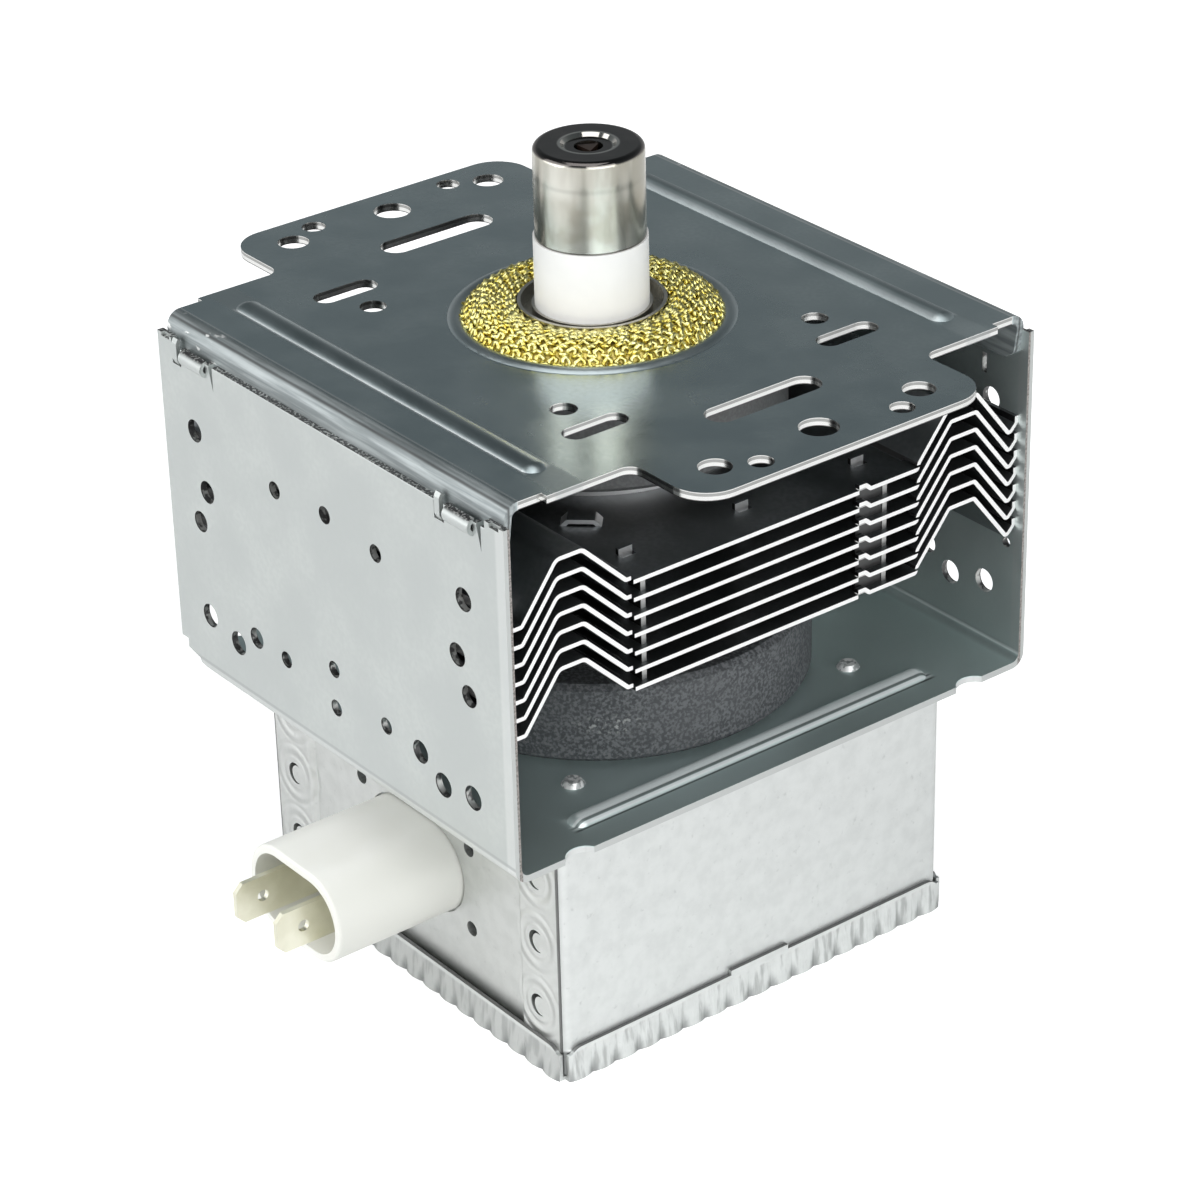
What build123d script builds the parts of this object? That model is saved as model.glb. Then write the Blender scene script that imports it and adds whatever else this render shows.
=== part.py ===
from build123d import *

import os
from typing import NamedTuple

# Cooker magnetron with forced-air cooling. Millimetres throughout.
# Z runs up the antenna axis and the origin is on that axis, in the upper face of the
# mounting plate. X runs through the two open sides of the yoke, which the cooling air
# crosses, and Y across its two walls. The supply connector points to -Y.

# Working clearances
FIT = 0.05  # between pieces that are pressed, brazed or folded together
SLIP = 0.3  # between a piece and the hole that it passes through

# Yoke: mounting plate on a folded U frame
YOKE_HALF_X = 40.0
YOKE_HALF_Y = 45.75
YOKE_BOTTOM_Z = -55.4
PLATE_T = 1.2
PLATE_SETBACK = 1.1  # of the plate's corners and turned-down edges from the open sides
PLATE_SETBACK_INSET = 6.95  # from the outside of a wall to where the corner is set back
PLATE_BEND_R = 2.2
PLATE_LAP_Z = -7.2  # foot of the plate's turned-down edge, inside the wall
PLATE_LAP_END = 3.4  # the edge stops short of the open sides by this much at its foot
FRAME_T = 1.0
FRAME_BEND_R = 2.2
WALL_TOP_Z = -3.8
WALL_TOP_R = 0.2

# Ears of the mounting plate
EAR_HALF_X = 53.8
EAR_HALF_Y = 25.0
EAR_CORNER_R = 5.5
EAR_ROOT_R = 2.0
MOUNT_INSET = 6.3  # from the end of an ear to its large holes
MOUNT_Y = 17.5
MOUNT_R = 2.3
LOCATING_R = 2.75
TAPPING_INSET = 3.6
TAPPING_Y = 12.1
TAPPING_R = 1.75

# Slots, holes and beads of the mounting plate
LONG_SLOT = (19.0, 4.8)
LONG_SLOT_X = 36.4
SHORT_SLOT = (10.2, 3.8)
SHORT_SLOT_X = 28.3
SHORT_SLOT_Y = 21.8
PILOT_X = 21.6
PILOT_R = 1.9
PLATE_BEAD = (68.5, 3.7, 0.85)  # length, width, height
PLATE_BEAD_INSET = 10.55  # from the outside of a wall
LIP_R = 19.0
LIP_WIDTH = 2.2
LIP_HEIGHT = 0.5

# Crimped joints between plate and frame, two along each wall
CRIMP_INSET = 9.2  # from the open side to the middle of a joint
CRIMP_LENGTH = 5.4
CRIMP_RADIUS = 1.25
CRIMP_T = 0.6
CRIMP_Z = -4.7
FINGER_OFFSET = 4.6
FINGER_WIDTH = 1.1
FINGER_Z = (-6.5, -2.6)  # foot and tip
SLIT_OFFSET = 3.9
SLIT_WIDTH = 0.5
SLIT_BOTTOM_Z = -7.5
TIP_LENGTH = 4.0
TIP_TOP_Z = -2.7
PEEP_SLOT = (31.4, -10.2, 0.9, 3.0)  # x, z, width, height; far wall only

# Holes in the wall on -Y as (x, height, radius); the wall on +Y has them turned half round
WALL_HOLES = (
    (-32.1, -15.5, 1.7),
    (-30.0, -24.3, 1.7),
    (-32.3, -29.8, 1.6),
    (-12.5, -17.2, 1.3),
    (-0.5, -16.3, 1.3),
    (11.2, -17.4, 1.3),
    (30.8, -16.2, 1.7),
    (28.9, -25.1, 1.7),
    (31.2, -30.4, 1.6),
    (-31.7, -44.7, 1.8),
    (-24.6, -46.2, 1.8),
    (-19.7, -43.3, 1.6),
    (-12.3, -43.6, 1.25),
    (-0.4, -40.0, 1.25),
    (-0.4, -46.1, 1.25),
    (11.6, -43.6, 1.25),
    (19.4, -44.1, 1.7),
    (24.4, -47.0, 1.8),
    (31.1, -45.9, 1.8),
)
FAR_WALL_SHIFT = (0.8, 0.3)  # of the turned pattern, in X and in height
FAR_WALL_HOLE = (36.8, -36.5, 0.8)  # small one that the wall on -Y lacks

# Floor of the frame
FLOOR_BEAD = (64.0, 3.6, 1.0)
FLOOR_BEAD_GAP = 1.5  # from the lower magnet's rim
NOTCH_INSET = 10.6  # from the outside of a wall
NOTCH_WIDTH = 4.9
NOTCH_DEPTH = 1.4
RIVET_X = 25.5
RIVET_Y = 25.0
RIVET_R = 1.1
RIVET_HEAD_R = 1.7
RIVET_CROWN_R = 1.2
RIVET_HEAD_H = 0.7

# Stepped ends of the frame's bends at the -X side as (distance from the open side, height over the bottom)
CORNER_STEPS = ((1.6, 4.2), (1.6, 2.8), (4.6, 2.2), (4.6, 1.4), (8.0, 0.0))

# Anode block and the vacuum envelope at its ends
ANODE_R = 20.0
ANODE_BORE_R = 17.5
ENVELOPE_T = 0.5
NECK_R = 10.4
NECK_TOP_Z = 2.3
NECK_BOTTOM_Z = -60.0
VANE_COUNT = 10
VANE_T = 2.0
VANE_HEIGHT = 9.5
VANE_TIP_R = 4.6
STRAP_T = 0.7
STRAP_HEIGHT = 1.2
STRAP_INNER_R = 5.8
STRAP_OUTER_R = 7.3
STRAP_CLEAR = 0.2
POLE_T = 1.6
POLE_RIM_R = 18.6
POLE_MOUTH_R = 5.2
POLE_GAP = 1.0  # between a pole tip and the vanes

# Magnets
MAGNET_BORE_R = 11.2
UPPER_MAGNET_R = 27.0
LOWER_MAGNET_R = 30.4
MAGNET_EDGE = 0.8
UPPER_MAGNET_H = 13.3
LOWER_MAGNET_H = 12.2

# Cooling fins
FIN_COUNT = 7
FIN_TOP_Z = -18.2
FIN_PITCH = 2.68
FIN_T = 0.6
FIN_HALF_X = 38.4
FIN_BEND_R = 0.4  # of the middle of the sheet
FIN_COLLAR_H = 1.6
WING_JOGGLE = 0.3  # run of the step from the flat up to a wing
WING_LIP = 2.1
WING_SLIT_DEPTH = 3.0


class Wing(NamedTuple):
    """One side of a fin, with its heights measured up from the flat."""

    flat_end: float  # inwards from the upper magnet's rim
    start: float  # likewise
    level_run: float
    crest: tuple  # both ends, as shares of the way from the start to the wall
    foot: tuple  # both ends, inwards from the wall
    start_height: float
    crest_height: float
    foot_height: float
    crest_r: float


LEFT_WING = Wing(
    flat_end=3.1, start=2.7, level_run=0.9, crest=(0.388, 0.593), foot=(2.55, 1.15),
    start_height=0.75, crest_height=7.6, foot_height=-0.15, crest_r=1.3,
)
RIGHT_WING = Wing(
    flat_end=0.7, start=1.2, level_run=0.0, crest=(0.313, 0.566), foot=(1.85, 1.35),
    start_height=0.96, crest_height=8.05, foot_height=0.2, crest_r=0.6,
)

# Fittings behind the open edges of a fin: a raised nib, spacers bent down to the next fin, and lanced tabs
NIB_Y = 15.3
NIB_LEVEL = 1.2
NIB_RAMP = 0.85
NIB_RISE = 0.75
NIB_DEPTH = 0.8
SPACER_T = 0.8
SPACER_INSETS = (1.0, 3.6)  # of its front and its back from the open edge
LEFT_SPACER_Y = 1.9  # from the end of the flat
RIGHT_SPACER_Y = 5.9
TAB_INSET = 6.6
TAB_Y = (-20.0, 0.0, 20.7)
TAB_LENGTH = 2.3
TAB_RISE = 0.9
BRIDGE_R = 28.2  # radius at which a low bridge lies beside the magnet's rim
BRIDGE_ANGLE = -42.0
BRIDGE_LENGTH = 3.6
BRIDGE_WIDTH = 2.6
BRIDGE_RISE = 0.9
BRIDGE_RAMP = 0.9

# Antenna
CERAMIC_R = 7.95
CERAMIC_BORE_R = 5.5
CERAMIC_TOP_Z = 11.8
COLLAR_TOP_Z = 1.8
COLLAR_T = 0.4
CAP_R = 7.7
CAP_T = 0.6
CAP_TOP_Z = 25.1
CAP_EDGE_R = 0.9
CAP_DIMPLE_R = 3.9
CAP_DIMPLE_DEPTH = 0.5
CAP_EYE_R = 2.0
EXHAUST_R = 1.6
PINCH_R = 1.7
LEAD_R = 0.6
ANTENNA_LEAD_X = 9.1

# Knitted gasket
GASKET_R = 17.8
GASKET_HEIGHT = 3.1
GASKET_EDGES = (0.4, 2.3)  # height of its outer and its inner edge

# Cathode
HAT_R = 3.6
HAT_T = 1.0
HAT_BORE_R = 0.9
FILAMENT_R = 1.9
FILAMENT_WIRE = 0.45
FILAMENT_TURNS = 6
SIDE_LEAD_X = 2.8
STEM_PIN_X = 5.0
STEM_PIN_Z = -76.0
STEM_HEIGHT = 10.0

# Filter case under the yoke
CASE_INSET_X = 5.3  # from the open sides of the yoke
CASE_INSET_Y = 10.9  # from its walls
CASE_T = 0.8
CASE_CORNER_R = 1.5
CASE_BOTTOM_Z = -93.85
PANEL_INSET = 0.65
PANEL_STRIP = 8.85  # width of the two strips beside its set-back middle
PANEL_BEND_R = 0.6
CLINCH_INSET = 4.85
CLINCH_Z = (-63.8, -74.1, -84.6)
CLINCH_R = 1.7
CLINCH_TONGUE_R = 1.45
CLINCH_GAP = 0.8  # widest part of the crescent round a clinch's tongue

# Filter lid
LID_T = 0.6
LID_RIM_Z = -89.4
LID_RIM_INSET = 0.3
LID_CORNER_R = 2.4
LID_TAB_HALF = 5.3
LID_TAB_RISE = 0.75
FLUTE_COUNT = 17
FLUTE_BULGE = 0.45
FLUTE_TOP_Z = -90.2

# Supply connector and feed-through capacitor; what reaches out or in is measured from the case's front
CONN_Z = -74.0
CONN_HALF_X = 11.15
CONN_HALF_Z = 6.95
CONN_REACH = 20.15
CONN_WALL = 1.3
CONN_DEPTH = 14.0
EYELET_X = 12.9
EYELET_Z = 6.6
EYELET_R = 1.15
CAP_PLATE_T = 1.0
CAP_PLATE_HALF = (17.0, 9.5)
CAP_BLOCK_LENGTH = 15.0
CAP_BLOCK_HALF = (9.8, 5.8)
BLADE_X = 5.0
BLADE_HEIGHT = 6.3
BLADE_T = 0.8
BLADE_REACH = 26.75
BLADE_ROOT_REACH = 3.15
BLADE_CHAMFER = 1.2
BLADE_HOLE_R = 0.9
BLADE_HOLE_BACK = 4.4
FEED_ROD_R = 1.0
FEED_ROD_DEPTH = 20.85

# Chokes
CHOKE_X = 15.0
CHOKE_Z = -81.0
CHOKE_START_Y = -7.0
CHOKE_R = 3.6
CHOKE_WIRE = 1.2
CHOKE_TURNS = 6
CHOKE_PITCH = 3.4
CHOKE_CORE_R = 2.6
CHOKE_CORE_OVERHANG = 3.0

# Places that follow from the yoke, and levels that follow from the stack of plate, magnets and anode
PLATE_UNDER_Z = -PLATE_T
FLOOR_Z = YOKE_BOTTOM_Z + FRAME_T
WALL_INNER_Y = YOKE_HALF_Y - FRAME_T
PLATE_BEND_Y = WALL_INNER_Y - PLATE_BEND_R
PLATE_CORNER_X = YOKE_HALF_X - PLATE_SETBACK
PLATE_CORNER_Y = YOKE_HALF_Y - PLATE_SETBACK_INSET
CRIMP_X = YOKE_HALF_X - CRIMP_INSET
TIP_START_X = YOKE_HALF_X - TIP_LENGTH
PLATE_BEAD_Y = YOKE_HALF_Y - PLATE_BEAD_INSET
MOUNT_X = EAR_HALF_X - MOUNT_INSET
TAPPING_X = EAR_HALF_X - TAPPING_INSET
FLOOR_BEAD_X = LOWER_MAGNET_R + FLOOR_BEAD_GAP + FLOOR_BEAD[1] / 2
NOTCH_Y = YOKE_HALF_Y - NOTCH_INSET
UPPER_MAGNET_LOW_Z = PLATE_UNDER_Z - UPPER_MAGNET_H
LOWER_MAGNET_TOP_Z = FLOOR_Z + LOWER_MAGNET_H
ANODE_TOP_Z = UPPER_MAGNET_LOW_Z - ENVELOPE_T
ANODE_LOW_Z = LOWER_MAGNET_TOP_Z + ENVELOPE_T
ANODE_MID_Z = (ANODE_TOP_Z + ANODE_LOW_Z) / 2
VANE_TOP_Z = ANODE_MID_Z + VANE_HEIGHT / 2
VANE_LOW_Z = ANODE_MID_Z - VANE_HEIGHT / 2
NECK_HOLE_R = NECK_R + SLIP
CASE_HALF_X = YOKE_HALF_X - CASE_INSET_X
CASE_HALF_Y = YOKE_HALF_Y - CASE_INSET_Y
PANEL_HALF_X = CASE_HALF_X - PANEL_INSET
PANEL_STEP_X = PANEL_HALF_X - PANEL_STRIP
CLINCH_X = PANEL_HALF_X - CLINCH_INSET
CASE_TOP_Z = YOKE_BOTTOM_Z
STEM_LOW_Z = NECK_BOTTOM_Z - STEM_HEIGHT
LID_LOW_Z = CASE_BOTTOM_Z - FIT - LID_T
CONN_MOUTH_Y = -(CASE_HALF_Y + CONN_REACH)
BLADE_TIP_Y = -(CASE_HALF_Y + BLADE_REACH)
BLADE_ROOT_Y = -(CASE_HALF_Y + BLADE_ROOT_REACH)
FEED_ROD_END_Y = FEED_ROD_DEPTH - CASE_HALF_Y

FAR = 200.0  # longer than anything here, for cutting shapes


def save(shape, name):
    export_step(shape, f"parts/{name}.step")


def tube(r_out, r_in, z_low, z_high):
    """Upright ring between two levels."""
    height = z_high - z_low
    middle = Pos(0, 0, (z_low + z_high) / 2)
    return middle * (Cylinder(r_out, height) - Cylinder(r_in, height))


def drill(x, y, z_low, z_high, r):
    """Upright round cutter."""
    return Pos(x, y, (z_low + z_high) / 2) * Cylinder(r, z_high - z_low)


def block(x_low, x_high, y_low, y_high, z_low, z_high):
    """Box between the given limits."""
    centre = Pos((x_low + x_high) / 2, (y_low + y_high) / 2, (z_low + z_high) / 2)
    return centre * Box(x_high - x_low, y_high - y_low, z_high - z_low)


def turned(points):
    """Solid of revolution about Z from a closed outline of (radius, height) points."""
    return revolve(Plane.XZ * make_face(Polyline(*points, close=True)), Axis.Z)


def segment_radius(width, height):
    """Radius of the circle whose segment has this chord and rise."""
    return (width**2 / 4 + height**2) / (2 * height)


def bead(size, across):
    """Capsule whose top stands over Z = 0 as a rounded bead, along X or, turned, along Y."""
    length, width, height = size
    radius = segment_radius(width, height)
    half = (length - width) / 2
    capsule = Rot(0, 90, 0) * Cylinder(radius, 2 * half)
    capsule += Pos(-half, 0, 0) * Sphere(radius)
    capsule += Pos(half, 0, 0) * Sphere(radius)
    return Rot(0, 0, 90 if across else 0) * Pos(0, 0, height - radius) * capsule


def pressed_bead(sheet, size, across, place, thickness):
    """Sheet with a bead raised on its upper face and sunk in its lower face."""
    capsule = place * bead(size, across)
    level = place.position.Z
    above = block(-FAR, FAR, -FAR, FAR, level - thickness / 2, level + FAR)
    return sheet + (capsule & above) - Pos(0, 0, -thickness) * capsule


def bent_strip(path, thickness, bend_r):
    """Flat outline of a strip of sheet that follows a path of points with rounded bends."""
    return trace(FilletPolyline(*path, radius=bend_r), thickness)


def wire_run(points, radius, bend_r):
    """Round wire along a path of points with rounded bends."""
    line = FilletPolyline(*points, radius=bend_r) if len(points) > 2 else Line(*points)
    return sweep(Plane(line @ 0, z_dir=line % 0) * Circle(radius), line)


# Mounting plate


def plate_outline():
    body = Rectangle(2 * YOKE_HALF_X, 2 * PLATE_CORNER_Y) + Rectangle(2 * PLATE_CORNER_X, 2 * PLATE_BEND_Y)
    outline = body + RectangleRounded(2 * EAR_HALF_X, 2 * EAR_HALF_Y, EAR_CORNER_R)
    roots = [
        corner
        for corner in outline.vertices()
        if abs(abs(corner.X) - YOKE_HALF_X) < FIT and abs(abs(corner.Y) - EAR_HALF_Y) < FIT
    ]
    return fillet(roots, EAR_ROOT_R)


def plate_edge():
    """Turned-down edge along +Y: a quarter bend, then a leg that laps inside the wall."""
    path = (
        (PLATE_BEND_Y - PLATE_BEND_R, -PLATE_T / 2),
        (WALL_INNER_Y - PLATE_T / 2, -PLATE_T / 2),
        (WALL_INNER_Y - PLATE_T / 2, PLATE_LAP_Z),
    )
    edge = extrude(Plane.YZ * bent_strip(path, PLATE_T, PLATE_BEND_R - PLATE_T / 2), PLATE_CORNER_X, both=True)
    end_cut = make_face(Polyline(
        (PLATE_CORNER_X, -PLATE_BEND_R),
        (YOKE_HALF_X - PLATE_LAP_END / 2, PLATE_LAP_Z - PLATE_BEND_R + PLATE_LAP_END),
        (YOKE_HALF_X - PLATE_LAP_END, PLATE_LAP_Z - FIT),
        (YOKE_HALF_X, PLATE_LAP_Z - FIT),
        (YOKE_HALF_X, -PLATE_BEND_R),
        close=True,
    ))
    cutter = extrude(Plane.XZ * end_cut, -FAR)
    return edge - cutter - mirror(cutter, Plane.YZ)


def yoke_top_plate():
    plate = extrude(plate_outline(), -PLATE_T)
    edge = plate_edge()
    plate += edge
    plate += mirror(edge, Plane.XZ)
    for side in (-1, 1):
        plate = pressed_bead(plate, PLATE_BEAD, False, Pos(0, side * PLATE_BEAD_Y, 0), PLATE_T)
    lip_section = segment_radius(LIP_WIDTH, LIP_HEIGHT)
    lip = Pos(0, 0, LIP_HEIGHT - lip_section) * Torus(LIP_R, lip_section)
    plate += lip & block(-FAR, FAR, -FAR, FAR, -PLATE_T / 2, FAR)

    plate -= drill(0, 0, -FAR, FAR, NECK_HOLE_R)
    long_slot = Rot(0, 0, 90) * SlotOverall(*LONG_SLOT)
    short_slot = Rot(0, 0, 90) * SlotOverall(*SHORT_SLOT)
    cuts = Sketch()
    for side_x in (-1, 1):
        cuts += Pos(side_x * LONG_SLOT_X, 0) * long_slot
        cuts += Pos(side_x * MOUNT_X, 0) * Circle(LOCATING_R)
        for side_y in (-1, 1):
            cuts += Pos(side_x * SHORT_SLOT_X, side_y * SHORT_SLOT_Y) * short_slot
            cuts += Pos(side_x * PILOT_X, side_y * SHORT_SLOT_Y) * Circle(PILOT_R)
            cuts += Pos(side_x * MOUNT_X, side_y * MOUNT_Y) * Circle(MOUNT_R)
            cuts += Pos(side_x * TAPPING_X, side_y * TAPPING_Y) * Circle(TAPPING_R)
    return plate - extrude(cuts, PLATE_T, both=True)


# Frame


def frame_section():
    """U of sheet whose walls end in a lip that is rounded off on the outside."""
    outer_height = WALL_TOP_Z - YOKE_BOTTOM_Z
    outer = Rectangle(2 * YOKE_HALF_Y, outer_height, align=(Align.CENTER, Align.MIN))
    inner = Pos(0, FRAME_T) * Rectangle(
        2 * WALL_INNER_Y, outer_height, align=(Align.CENTER, Align.MIN)
    )
    outer = fillet(outer.vertices().sort_by(Axis.Y)[:2], FRAME_BEND_R)
    outer = fillet(outer.vertices().sort_by(Axis.Y)[-2:], WALL_TOP_R)
    inner = fillet(inner.vertices().sort_by(Axis.Y)[:2], FRAME_BEND_R - FRAME_T)
    return Plane.YZ * Pos(0, YOKE_BOTTOM_Z) * (outer - inner)


def crimp_bridge():
    """Half-round bridge at the top of the wall that is pushed out of it, at X = 0."""
    half_plane = Rectangle(CRIMP_RADIUS, 2 * CRIMP_RADIUS, align=(Align.MIN, Align.CENTER))
    arch = Circle(CRIMP_RADIUS) - Circle(CRIMP_RADIUS - CRIMP_T)
    place = Plane.YZ * Pos(YOKE_HALF_Y - CRIMP_T / 2, CRIMP_Z)
    return extrude(place * (arch & half_plane), CRIMP_LENGTH / 2, both=True)


def curled_finger():
    """Narrow strip of the wall's lip that is curled up and out, at X = 0."""
    foot, tip = FINGER_Z
    path = (
        (YOKE_HALF_Y - FRAME_T / 2, foot - CRIMP_T),
        (YOKE_HALF_Y - FRAME_T / 2, foot),
        (YOKE_HALF_Y, foot + FRAME_T),
        (YOKE_HALF_Y, tip - CRIMP_T),
        (YOKE_HALF_Y - FRAME_T / 3, tip),
    )
    return extrude(Plane.YZ * bent_strip(path, CRIMP_T, CRIMP_T / 2), FINGER_WIDTH / 2, both=True)


def crimped_wall(frame):
    """Frame with the tips, windows, slits, bridges and fingers of its +Y wall."""
    for side in (-1, 1):
        low, high = sorted((side * TIP_START_X, side * YOKE_HALF_X))
        frame += block(low, high, WALL_INNER_Y, YOKE_HALF_Y, WALL_TOP_Z - FRAME_T, TIP_TOP_Z)
        pocket = sorted((side * (TIP_START_X + FRAME_T), side * (YOKE_HALF_X - FRAME_T)))
        frame -= block(*pocket, YOKE_HALF_Y - FRAME_T / 2, FAR, (WALL_TOP_Z + TIP_TOP_Z) / 2, FAR)
    window_half = CRIMP_LENGTH / 2
    window_low = CRIMP_Z - CRIMP_RADIUS + CRIMP_T / 2
    slot_half = FINGER_WIDTH / 2 + SLIT_WIDTH
    for crimp_x in (-CRIMP_X, CRIMP_X):
        finger_x = crimp_x - FINGER_OFFSET
        slit_x = crimp_x + SLIT_OFFSET
        frame -= block(crimp_x - window_half, crimp_x + window_half, 0, FAR, window_low, FAR)
        frame -= block(finger_x - slot_half, finger_x + slot_half, 0, FAR, FINGER_Z[0], FAR)
        frame += Pos(finger_x, 0, 0) * curled_finger()
        frame += Pos(crimp_x, 0, 0) * crimp_bridge()
        wedge = make_face(Polyline(
            (slit_x - SLIT_WIDTH, WALL_TOP_Z + FIT),
            (slit_x + SLIT_WIDTH, WALL_TOP_Z + FIT),
            (slit_x + SLIT_WIDTH, SLIT_BOTTOM_Z),
            close=True,
        ))
        frame -= extrude(Plane.XZ * wedge, -FAR)
    return frame


def corner_relief():
    """Cutter for the stepped ends of the bends at the -X side, on +Y."""
    x_edge, z_edge = YOKE_HALF_X + FRAME_T, YOKE_BOTTOM_Z - FRAME_T
    steps = [(inset - YOKE_HALF_X, YOKE_BOTTOM_Z + rise) for inset, rise in CORNER_STEPS]
    outline = Polyline((-x_edge, steps[0][1]), *steps, (steps[-1][0], z_edge), (-x_edge, z_edge), close=True)
    cutter = extrude(Plane.XZ * make_face(outline), -FAR)
    return cutter & block(-FAR, 0, WALL_INNER_Y - FRAME_BEND_R, FAR, -FAR, 0)


def yoke_frame():
    frame = extrude(frame_section(), YOKE_HALF_X, both=True)
    frame = crimped_wall(frame)
    frame = mirror(crimped_wall(mirror(frame, Plane.XZ)), Plane.XZ)
    relief = corner_relief()
    frame -= relief
    frame -= mirror(relief, Plane.XZ)

    peep_x, peep_z, peep_width, peep_height = PEEP_SLOT
    half_width, half_height = peep_width / 2, peep_height / 2
    frame -= block(
        peep_x - half_width, peep_x + half_width, WALL_INNER_Y - FIT, FAR,
        peep_z - half_height, peep_z + half_height,
    )

    near_holes = Sketch()
    shift_x, shift_z = FAR_WALL_SHIFT
    far_x, far_z, far_r = FAR_WALL_HOLE
    far_holes = Sketch() + Pos(far_x, far_z) * Circle(far_r)
    for x, height, radius in WALL_HOLES:
        near_holes += Pos(x, height) * Circle(radius)
        far_holes += Pos(shift_x - x, shift_z + height) * Circle(radius)
    frame -= extrude(Plane.XZ * near_holes, YOKE_HALF_Y + FRAME_T)
    frame -= extrude(Plane.XZ * far_holes, -(YOKE_HALF_Y + FRAME_T))

    notch_r = segment_radius(NOTCH_WIDTH, NOTCH_DEPTH)
    for side_x in (-1, 1):
        place = Pos(side_x * FLOOR_BEAD_X, 0, FLOOR_Z)
        frame = pressed_bead(frame, FLOOR_BEAD, True, place, FRAME_T)
        for side_y in (-1, 1):
            notch_x = side_x * (YOKE_HALF_X - NOTCH_DEPTH + notch_r)
            frame -= drill(notch_x, side_y * NOTCH_Y, YOKE_BOTTOM_Z - FRAME_T, FLOOR_Z + FRAME_T, notch_r)
            frame -= drill(side_x * RIVET_X, side_y * RIVET_Y, -FAR, FLOOR_Z + FRAME_T, RIVET_R + FIT)
    return frame - drill(0, 0, -FAR, FLOOR_Z + FRAME_T, NECK_HOLE_R)


# Magnets


def ring_magnet(radius, z_low, z_high):
    ring = tube(radius, MAGNET_BORE_R, z_low, z_high)
    rims = ring.edges().filter_by(GeomType.CIRCLE).filter_by(lambda rim: rim.radius > MAGNET_BORE_R)
    return chamfer(rims, MAGNET_EDGE)


# Cooling fins


def wing_path(wing):
    """Middle line of one wing as (y, height over the flat), from the flat out to the wall."""
    joggle_y = UPPER_MAGNET_R - (wing.flat_end + wing.start) / 2
    start_y = joggle_y + WING_JOGGLE / 2
    span = WALL_INNER_Y - start_y
    lip_y = WALL_INNER_Y - FIN_T / 2
    foot_in, foot_out = (WALL_INNER_Y - inset for inset in wing.foot)
    points = [(0.0, 0.0), (joggle_y - WING_JOGGLE / 2, 0.0), (start_y, wing.start_height)]
    if wing.level_run:
        points.append((start_y + wing.level_run, wing.start_height))
    points += [(start_y + share * span, wing.crest_height) for share in wing.crest]
    points += [(foot_in, wing.foot_height), (foot_out, wing.foot_height)]
    points += [(lip_y, wing.foot_height + lip_y - foot_out), (lip_y, wing.foot_height + WING_LIP)]
    return points


def fin_half(wing):
    """Half of a fin on the +Y side: flat, step, wing and the lip that bears on the wall."""
    path = wing_path(wing)
    radii = [wing.crest_r if height == wing.crest_height else FIN_BEND_R for y, height in path[1:-1]]
    half = extrude(Plane.YZ * bent_strip(path, FIN_T, radii), FIN_HALF_X, both=True)
    return half - end_slits(wing)


def end_slits(wing):
    """Cutters at both open edges that part the end of the flat from the end of a wing on +Y."""
    flat_end, start = UPPER_MAGNET_R - wing.flat_end, UPPER_MAGNET_R - wing.start
    low, high = min(flat_end, start) - FIN_T, max(flat_end, start) + FIN_T
    slit = block(FIN_HALF_X - WING_SLIT_DEPTH, FAR, low, high, -FIN_T, wing.start_height + FIN_T)
    slit -= block(0, FAR, 0, flat_end, -FAR, FIN_T / 2)
    slit -= block(0, FAR, start, FAR, wing.start_height - FIN_T / 2, FAR)
    return slit + mirror(slit, Plane.YZ)


def nib():
    """Lug at the +X edge that is cut free of the flat at one end and raised."""
    foot_y = NIB_Y + NIB_LEVEL + NIB_RAMP
    path = ((NIB_Y, NIB_RISE), (NIB_Y + NIB_LEVEL, NIB_RISE), (foot_y, 0.0), (foot_y + NIB_LEVEL, 0.0))
    strip = extrude(Plane.YZ * bent_strip(path, FIN_T, FIN_BEND_R), NIB_DEPTH)
    return Pos(FIN_HALF_X - NIB_DEPTH, 0, 0) * strip


def spacers():
    """Two legs bent down to the next fin behind the +X edge, one with a tongue towards the nib."""
    foot_z = FIN_T / 2 - FIN_PITCH
    front, back = (FIN_HALF_X - inset for inset in SPACER_INSETS)
    left_y = LEFT_WING.flat_end - UPPER_MAGNET_R + LEFT_SPACER_Y
    right_y = UPPER_MAGNET_R - RIGHT_WING.flat_end - RIGHT_SPACER_Y
    tongue_x = FIN_HALF_X - NIB_DEPTH - SLIP
    legs = block(back, front, left_y, left_y + SPACER_T, foot_z, 0)
    legs += block(back, front, right_y, right_y + SPACER_T, foot_z, 0)
    return legs + block(tongue_x - FIN_T, tongue_x, NIB_Y + SLIP, right_y, foot_z, 0)


def bridge():
    """Low bridge pressed up out of the flat, along a tangent beside the magnet's rim."""
    half = BRIDGE_LENGTH / 2
    foot = half + BRIDGE_RAMP
    path = (
        (-foot - BRIDGE_RAMP, 0), (-foot, 0), (-half, BRIDGE_RISE),
        (half, BRIDGE_RISE), (foot, 0), (foot + BRIDGE_RAMP, 0),
    )
    strip = extrude(Plane.YZ * bent_strip(path, FIN_T, FIN_BEND_R), BRIDGE_WIDTH)
    window = block(0, BRIDGE_WIDTH, -foot, foot, -FIN_T, FIN_T)
    place = Rot(0, 0, BRIDGE_ANGLE) * Pos(BRIDGE_R - BRIDGE_WIDTH / 2, 0, 0)
    return place * strip, place * window


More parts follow.
